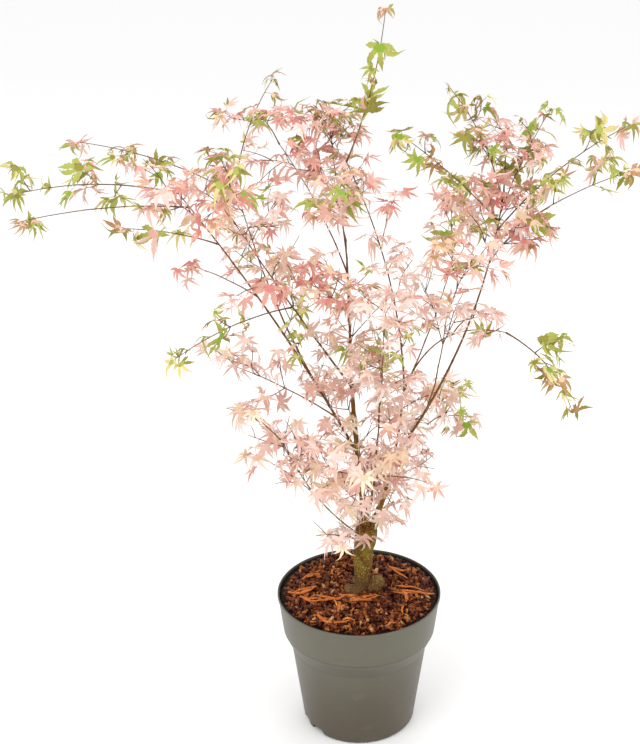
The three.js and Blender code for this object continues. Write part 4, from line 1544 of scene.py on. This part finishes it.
@dataclass
class Spray:
    """Foliage on one stem, which keeps to its own space.

    owner is the mass or the limb that it belongs to, seed says which numbers it draws, and crown is what
    all sprays share. girth is how far the foliage may stand from the stem, and fullness the share of
    leaves that it keeps or, above one, how much closer its nodes are. A mass's space ends at its slack
    past the line halfway to the next mass, and a space without slack isn't shared out.
    """

    owner: str
    path: Path
    ply: Ply
    seed: int
    crown: "Crown"
    girth: float
    fullness: float
    slack: float | None = None
    ceiling: float = 900.0

    def __post_init__(self) -> None:
        """Counts the stem's nodes and samples it."""
        self.habit, self.rule = HABITS[self.ply], self.crown.rule
        self.path.nodes = max(2.0, round(self.path.length / self.habit.node))
        self.samples = self.path.points(np.linspace(0, 1, 11))
        self.draw = np.random.default_rng(self.seed)

    def holds(self, points: Array) -> bool:
        """Whether points lie in the girth, in the solids' reach and, but for the slack, nearest this stem.

        Args:
            points: the points, as (n, 3).

        Returns:
            True if all of them do.
        """
        crown = self.crown
        if points[:, 2].min() < crown.floor or points[:, 2].max() > self.ceiling:
            return False
        if np.any(points < crown.low) or np.any(points > crown.high):
            return False
        own = np.linalg.norm(points[:, None] - self.samples, axis=-1).min(axis=1)
        if own.max() > self.girth:
            return False
        if self.slack is None:
            return True
        gaps = np.linalg.norm(points[:, None, None] - crown.samples, axis=-1).min(axis=2)
        return bool(np.all(gaps > own[:, None] - self.slack))

    def has_room(self, leaf: Leaf) -> bool:
        """Whether a leaf lies in the spray's space, apart from the other blades and clear of the limbs.

        Args:
            leaf: the leaf.

        Returns:
            True if it does.
        """
        crown, side = self.crown, np.cross(leaf.normal, leaf.forward)
        tips = [leaf.joint + leaf.size * leaf.forward]
        tips += [leaf.joint + leaf.size * 0.8 * sign * side for sign in (-1, 1)]
        if not self.holds(np.array(tips)):
            return False
        gaps = np.linalg.norm(crown.blades[: crown.count] - leaf.middle, axis=1)
        if np.any(gaps < self.rule.apart * (leaf.size + crown.sizes[: crown.count])):
            return False
        near = np.linalg.norm(crown.limb_points - leaf.middle, axis=1) - crown.limb_radii
        return bool(near.min() > self.rule.wood_clear)

    def tints(self, height: float) -> Tints:
        """Draws the colours of a spray.

        Args:
            height: its height; at the top of the crown the colours are those of the young shoots.

        Returns:
            The tints of a leaf's heart, of its lobes and of the half lobes that differ.
        """
        rows = PALETTE[Ply.SHOOT if height > self.rule.young else self.ply]
        weights = np.array([row[0] for row in rows])
        return rows[int(self.draw.choice(len(rows), p=weights / weights.sum()))][1:]

    def posture(self, heading: Array, turn: int) -> tuple[Array, Array, Array]:
        """Draws how a leaf stands.

        Args:
            heading: the way that its stalk grows if nothing is in the way.
            turn: how many turns it has taken.

        Returns:
            Its stalk's heading, and its blade's heading and upper side.
        """
        draw, habit = self.draw, self.habit
        out = turned(heading, UP, math.radians(draw.uniform(-1, 1) * self.rule.turn * turn))
        if math.hypot(out[0], out[1]) < self.rule.steep[0]:
            out = out + self.rule.steep[1] * polar(draw.uniform(0, 360), 1, 0)
        out = unit(out)
        down = math.radians(draw.normal(*habit.droop))
        facing = turned(unit(np.array([out[0], out[1], 0.0])), UP, draw.normal(0, 0.3))
        forward = unit(math.cos(down) * facing - math.sin(down) * UP)
        side = turned(level_normal(facing), forward, math.radians(draw.normal(0, habit.roll)))
        return out, forward, unit(np.cross(forward, side))

    def leaf(self, root: Array, heading: Array, tints: Tints, scale: float = 1.0) -> None:
        """Adds a leaf in the first turn that has room, if there is one.

        Args:
            root: the foot of its stalk.
            heading: about the way that the stalk grows.
            tints: the colours of its spray, which most leaves keep.
            scale: its size.
        """
        draw, habit, shoot = self.draw, self.habit, self.ply is Ply.SHOOT
        if draw.uniform() < habit.missing:
            return
        tints = tints if draw.uniform() < self.rule.steady else self.tints(root[2])
        form = FORMS[int(draw.choice(4, p=habit.forms))]
        if form is TOOTHED:
            hue = draw.uniform()
            if hue < (0.6 if shoot else 0.35):
                tints = (GREEN if hue < 0.3 else OLIVE, LIME, tints[2])
            scale = scale * self.rule.toothed
        if scale < self.rule.small:
            form = YOUNG
        size = draw.uniform(*habit.blade) * scale
        stalk = draw.uniform(*habit.stalk) * min(scale, 1.0)
        for turn in range(self.rule.tries):
            out, forward, normal = self.posture(heading, turn)
            joint = root + stalk * unit(out + self.rule.kneel * forward)
            made = Leaf(root, joint, out, forward, normal, size, form, tints)
            if self.has_room(made):
                made.splashes = int(draw.integers(1, 8)) if draw.uniform() < self.rule.splashed else 0
                self.crown.add_leaf(made, self.owner)
                return

    def fan(self, path: Path, tints: Tints) -> None:
        """Adds the leaves at the end of a stem or twig, and on a shoot the young ones between them.

        Args:
            path: the stem or twig.
            tints: their colours.
        """
        end = path.point(0.99)
        for yaw in self.rule.fan:
            self.leaf(end, turned(path.tangent(1), UP, math.radians(yaw)), tints, self.rule.end)
        for half in (0, math.pi) if self.ply is Ply.SHOOT else ():
            self.leaf(end, path.sideways(1, half, 0.35), tints, self.rule.tuft)

    def twig(self, root: Array, heading: Array, order: int) -> bool:
        """Adds a twig with its leaves, if its tip has room.

        Args:
            root: its foot.
            heading: the way that it grows before it turns up.
            order: 1 on the stem, 2 on a twig.

        Returns:
            Whether it grew.
        """
        length = self.draw.uniform(*self.habit.twig) / order**0.7
        if self.draw.uniform() > self.fullness:
            return False
        tip = root + unit(heading + self.rule.lift * UP) * length
        if not self.holds(tip[None]):
            return False
        wobble = self.rule.wobble[0]
        path = Path(root, tip, self.draw.normal(0, wobble), self.draw.normal(0, wobble))
        thick, thin = self.rule.twig_radii
        self.crown.twigs.append(Limb(path, thick / order**0.3, thin))
        roll = self.draw.uniform(0, 2 * math.pi)
        self.branch(path, self.habit.twig_node, order, roll, self.rule.twig_bare)
        return True

    def branch(self, path: Path, spacing: float, order: int, roll: float, first: float) -> None:
        """Sets opposite pairs of twigs or leaves at the nodes of a stem or twig, and a fan at its end.

        Args:
            path: the stem or twig.
            spacing: the distance between its nodes.
            order: 0 for a stem, 1 for a twig on it, 2 for a twig on that.
            roll: the angle of the first pair.
            first: the share of its length where the nodes start.
        """
        tints = self.tints(path.point(1)[2])
        nodes = max(1, round(path.length * (1 - first) / spacing * max(1.0, self.fullness)))
        self.fan(path, tints)
        for node in range(nodes):
            share = first + (1 - first) * (node + self.rule.node_shift) / nodes
            root = path.point(share)
            if order == 0:
                tints = self.tints(root[2])
            for half in (0, 1):
                around = roll + math.pi / 2 * node + math.pi * half
                heading = path.sideways(share, around, math.radians(self.draw.normal(*self.rule.spread)))
                grows = order < 2 and self.draw.uniform() < self.habit.twig_share / (order + 1)
                if grows and self.twig(root, heading, order + 1):
                    continue
                if order > 0 or self.draw.uniform() < self.fullness:
                    self.leaf(root, heading, tints)

    def grow(self, thick: float) -> None:
        """Grows all of it from its stem, whose foot has this radius."""
        self.crown.twigs.append(Limb(self.path, thick, self.rule.stem_radii[1]))
        self.branch(self.path, self.habit.node, 0, self.draw.uniform(0, 2 * math.pi), self.rule.first_node)


class Crown:
    """All the foliage: stems, twigs, stalks and leaves."""

    def __init__(self, wood: Wood) -> None:
        """Samples the limbs and makes the masses with their spaces.

        Args:
            wood: the trunk and the boughs that carry the crown.
        """
        self.wood = wood
        self.rule = Growth()
        self.blade = Blade()
        self.twigs: list[Limb] = []
        self.leaves: list[Leaf] = []
        self.owners: list[str] = []
        self.blades = np.zeros((6000, 3))
        self.sizes = np.zeros(6000)
        self.floor = wood.trunk_foot[2] + self.rule.above_soil
        self.low = np.array(CAD_LOW) / MM - self.rule.over
        self.high = np.array(CAD_HIGH) / MM + self.rule.over
        share = np.linspace(0, 1, 40)
        limbs = wood.limbs.values()
        self.limb_points = np.concatenate([limb.path.points(share) for limb in limbs])
        self.limb_radii = np.concatenate([limb.radii(share) for limb in limbs])
        self.masses = [self.mass(number, *row) for number, row in enumerate(MASS_ROWS, 1)]
        self.samples = np.array([mass.samples for mass in self.masses])

    @property
    def count(self) -> int:
        """How many leaves there are."""
        return len(self.leaves)

    def mass(self, number: int, name: str, limb: str, at: float, *row: Any) -> Spray:
        """The spray that stands for one mass.

        Args:
            number: its place in the rows, from 1.
            name: its name.
            limb: the limb that it grows from.
            at: the share of the limb's length.
            row: the rest of its row.

        Returns:
            The spray, not yet grown.
        """
        bearing, reach, height, bow, girth, layer, *trim = row
        fullness, share, slack, ceiling = (*trim, *PLAIN[len(trim) :])
        start = self.wood.limbs[limb].path.foothold(at, self.wood.sink)
        path = Path(start, polar(bearing, reach, height), bow, 0.0, self.wood.kink)
        own = (girth * share, fullness, slack, ceiling)
        return Spray(name, path, Ply(layer), self.rule.seed * number, self, *own)

    def add_leaf(self, leaf: Leaf, owner: str) -> None:
        """Keeps a leaf and the place of its blade.

        Args:
            leaf: the leaf.
            owner: the mass or the limb that it belongs to.
        """
        self.blades[self.count] = leaf.middle
        self.sizes[self.count] = leaf.size
        self.leaves.append(leaf)
        self.owners.append(owner)

    def ply_at(self, height: float) -> Ply:
        """The layer of a side spray at a height."""
        upper = Ply.MIDDLE if height < self.rule.middle_top else Ply.UPPER
        return Ply.LOWER if height < self.rule.low_top else upper

    def grow_sides(self) -> None:
        """Grows side sprays at the nodes of the limbs, in opposite pairs that turn a quarter each time."""
        for number, (name, side) in enumerate(SIDES.items(), 1):
            path = self.wood.limbs[name].path
            draw = np.random.default_rng(self.rule.seed + 31 * number)
            roll = draw.uniform(0, 2 * math.pi)
            for node, half in product(range(1, int(path.nodes)), (0, 1)):
                share = node / int(path.nodes)
                chosen = draw.uniform() < np.interp(share, (0, 1), side.chance)
                length = draw.uniform(*side.length)
                spread = math.radians(draw.normal(*self.rule.side_spread))
                if share < side.first or not chosen:
                    continue
                root = path.point(share)
                around = roll + math.pi / 2 * node + math.pi * half
                heading = unit(path.sideways(share, around, spread) + side.lift * UP)
                tip = root + length * heading
                wobble = self.rule.wobble[1]
                stem = Path(root, tip, draw.normal(0, wobble), draw.normal(0, wobble))
                seed = self.rule.seed + 1000 * number + 2 * node + half
                spray = Spray(name, stem, self.ply_at(root[2]), seed, self, side.girth, side.fullness)
                if spray.holds(tip[None]):
                    spray.grow(self.rule.side_radius)

    def make_twigs(self) -> None:
        """The stems and twigs: thin tapers with a small swelling at their feet."""
        share = np.linspace(0, 1, 14)
        centres = np.array([twig.path.points(share) for twig in self.twigs])
        size, steepness = self.rule.swelling
        swelling = 1 + size * np.exp(-share * steepness)
        radii = np.array([twig.radii(share) for twig in self.twigs]) * swelling
        surface = Surface()
        surface.tubes(centres, radii, 6)
        finish = ShootSkin("twig_skin", (86, 52, 34), (118, 86, 56))
        surface.settle("twigs", finish.material(), "branch", [mass.owner for mass in self.masses])

    def make_stalks(self) -> None:
        """The leaf stalks: fine tubes that leave along the leaf's heading and bend into the blade."""
        t = np.linspace(0, 1, 5)[None, :, None]
        root, joint, out = self.gather("root"), self.gather("joint"), self.gather("out")
        run = np.linalg.norm(joint - root, axis=-1, keepdims=True)
        centres = bend(t, root, root + self.rule.stalk_bend * run * out, joint)
        taper = np.linspace(*self.rule.stalk_radii, t.size)
        green = np.array([leaf.tints[0] in (OLIVE, LIME, GREEN) for leaf in self.leaves])
        finishes = (
            (~green, "leaf_pink", "stalks_red", ShootSkin("stalk_red", (212, 104, 88), (226, 148, 120))),
            (green, "leaf_green", "stalks_green", ShootSkin("stalk_green", (146, 128, 62), (168, 150, 84))),
        )
        for chosen, slot, name, finish in finishes:
            rows = centres[chosen]
            surface = Surface()
            surface.tubes(rows, np.broadcast_to(taper, rows.shape[:2]), 4)
            surface.settle(name, finish.material(), slot)

    def gather(self, key: str, chosen: Sequence[int] | None = None) -> Array:
        """One value of every leaf, or of the chosen ones, in rows of one."""
        leaves = self.leaves if chosen is None else [self.leaves[i] for i in chosen]
        return np.array([getattr(leaf, key) for leaf in leaves])[:, None]

    def blades_of(self, form: LeafForm, chosen: list[int], draw: np.random.Generator) -> tuple[Array, Array]:
        """The blades of all leaves of one form.

        A vertex lies at its reach along its lobe's angle, and across it by the lobe's half width. The blade
        cups down with the square of the reach, its lobes fold up at both edges, curl with the cube of the
        reach and bend sideways like sickles, each by its own drawn amount.

        Args:
            form: the form.
            chosen: the numbers of its leaves.
            draw: the random numbers.

        Returns:
            Their vertices, as (leaves, vertices, 3), and the number of each face's tint.
        """
        shape, wild, blade = form.template(), form.bend, self.blade
        angles, lengths = form.lobes.T
        angles = np.radians(angles)
        count, lobes = len(chosen), len(lengths)

        def vary(middle: float, lobe: float, whole: float) -> Array:
            """A value for every lobe: a middle, and the spreads from lobe to lobe and from leaf to leaf."""
            values = draw.normal(middle, lobe * wild, (count, lobes))
            return values + draw.normal(0, whole * wild, (count, 1))

        def follow(values: Array) -> Array:
            """A value of each lobe at each vertex, halfway between two lobes in a notch."""
            return (values[:, shape["left"].astype(int)] + values[:, shape["right"].astype(int)]) / 2

        angle = angles * draw.normal(1, blade.whole_angle, (count, 1))
        angle = angle + draw.normal(0, blade.angle, (count, lobes))
        length = lengths * draw.normal(1, blade.length, (count, lobes))
        curl = vary(*blade.curl)
        sickle = vary(*blade.sickle)
        cup, fold, width = (draw.uniform(*ends, (count, 1)) for ends in blade.ranges)
        reach = shape["reach"]
        at = follow(angle) + np.radians(shape["turn"]) + follow(sickle) * reach**2 * shape["own"]
        run = reach * np.where(shape["own"] > 0, follow(length), 1.0)
        across = shape["apart"] * width
        x = run * np.cos(at) - across * np.sin(at)
        y = run * np.sin(at) + across * np.cos(at)
        z = fold * np.abs(across) - cup * run**2 - follow(curl) * run**3
        local = np.stack([x, y, z], axis=-1) * self.gather("size", chosen)[..., None]
        forward, normal = self.gather("forward", chosen), self.gather("normal", chosen)
        frames = np.concatenate([forward, np.cross(normal, forward), normal], axis=1)
        points = np.einsum("nvk,nkd->nvd", local, frames) + self.gather("joint", chosen)
        order = {tint: number for number, tint in enumerate(Tint)}
        tints = np.array([[order[tint] for tint in self.leaves[i].tints] for i in chosen])
        inner, outer, splash = tints.T[..., None]
        lobed = shape["zone"] > 0
        first = draw.integers(0, 2 * lobes, count)[:, None]
        splashed = lobed & ((shape["half"] - first) % (2 * lobes) < self.gather("splashes", chosen))
        return points, np.where(splashed, splash, np.where(lobed, outer, inner))

    def make_leaves(self) -> None:
        """Deals every leaf's faces, with the vertices that they use, to the piece of their tint."""
        draw = np.random.default_rng(self.rule.seed + 7)
        surfaces = {tint: Surface() for tint in Tint}
        names: dict[Tint, set[str]] = {tint: set() for tint in Tint}
        for form in FORMS:
            chosen = [i for i, leaf in enumerate(self.leaves) if leaf.form is form]
            points, tints = self.blades_of(form, chosen, draw)
            owners = np.array([self.owners[i] for i in chosen])
            faces = form.template()["faces"]
            start = np.arange(len(chosen))[:, None, None] * points.shape[1]
            faces = np.where(faces < 0, -1, faces + start)
            for k, tint in enumerate(Tint):
                mask = tints == k
                if not mask.any():
                    continue
                picked = faces[mask]
                real = picked >= 0
                used, picked[real] = np.unique(picked[real], return_inverse=True)
                quad = real[:, 3]
                surfaces[tint].add(points.reshape(-1, 3)[used], picked[quad], picked[~quad, :3])
                names[tint].update(owners[mask.any(axis=1)].tolist())
        masses = {mass.owner for mass in self.masses}
        for tint, surface in surfaces.items():
            label, (shade, slot) = tint.name.lower(), tint.value
            material = LeafSkin("leaf_" + label, shade).material()
            surface.settle("leaves_" + label, material, slot, sorted(names[tint] & masses))

    def build(self) -> None:
        """Grows every mass and makes the pieces."""
        for mass in self.masses:
            mass.grow(self.rule.stem_radii[0])
        self.grow_sides()
        log.info("%d leaves on %d twigs", len(self.leaves), len(self.twigs))
        self.make_twigs()
        self.make_stalks()
        self.make_leaves()


# ---- studio


@dataclass
class Studio:
    """A pale floor, soft light all round and a camera that looks down on the plant from the front.

    A light's row is name, place, size and power, in metres and watts.
    """

    camera_place: Triple = (0.0, -1.4, 1.0435)
    camera_tilt: float = 23.12
    lens: float = 67.6
    shift: float = -0.0524
    floor_side: float = 60.0
    floor_shade: float = 0.96
    target: Triple = (0.0, 0.0, 0.45)
    lights: tuple[tuple, ...] = (
        ("key", (-1.1, -1.5, 2.4), 1.6, 22.0),
        ("fill", (1.6, -0.9, 1.6), 1.8, 9.0),
        ("back", (0.4, 1.8, 2.0), 1.6, 9.0),
    )

    def put(self, name: str, data: Any, place: Sequence[float], turn: Sequence[float]) -> bpy.types.Object:
        """Puts a new object into the scene.

        Args:
            name: its name.
            data: its mesh, lamp or lens.
            place: where it stands.
            turn: its turn about each axis, in radians.

        Returns:
            The object.
        """
        made = bpy.data.objects.new(name, data)
        made.location = place
        made.rotation_euler = turn
        bpy.context.scene.collection.objects.link(made)
        return made

    def add_light(self, name: str, place: Sequence[float], size: float, power: float) -> None:
        """A round area light that looks at the middle of the plant.

        Args:
            name: its name.
            place: where it stands.
            size: its width.
            power: its power.
        """
        lamp = bpy.data.lights.new(name, "AREA")
        lamp.shape = "DISK"
        lamp.size = size
        lamp.energy = power
        away = np.array(place) - self.target
        tilt = math.acos(away[2] / float(np.linalg.norm(away)))
        self.put(name, lamp, place, (tilt, 0.0, math.atan2(away[1], away[0]) + math.pi / 2))

    def add_floor(self) -> None:
        """The floor, a plain matt square under the plant."""
        half = self.floor_side / 2
        mesh = bpy.data.meshes.new("floor")
        corners = [(-half, -half, 0), (half, -half, 0), (half, half, 0), (-half, half, 0)]
        mesh.from_pydata(corners, [], [(0, 1, 2, 3)])
        graph = Graph("floor_paint", (0, 0, 0))
        graph.colour = (*[self.floor_shade] * 3, 1.0)
        mesh.materials.append(graph.finish(0.9, 0.0, 0.0, 0.1))
        self.put("floor", mesh, (0, 0, 0), (0, 0, 0))

    def build(self) -> None:
        """Makes the camera, the surroundings, the floor and the lights."""
        scene = bpy.context.scene
        scene.view_settings.view_transform = "Standard"
        lens = bpy.data.cameras.new("camera")
        lens.lens = self.lens
        lens.shift_x = self.shift
        lens.clip_end = 100.0
        turn = (math.radians(90 - self.camera_tilt), 0, 0)
        scene.camera = self.put("camera", lens, self.camera_place, turn)
        world = bpy.data.worlds.new("surroundings")
        world.use_nodes = True
        background = world.node_tree.nodes["Background"]
        background.inputs["Color"].default_value = (1.0, 1.0, 1.0, 1.0)
        background.inputs["Strength"].default_value = 1.0
        scene.world = world
        self.add_floor()
        for light in self.lights:
            self.add_light(*light)


def main() -> None:
    """Builds the whole scene in order."""
    logging.basicConfig(level=logging.INFO, format="%(name)s: %(message)s")
    Studio().build()
    Pot().build()
    Compost().build()
    wood = Wood()
    wood.build()
    Crown(wood).build()


if __name__ == "__main__":
    main()
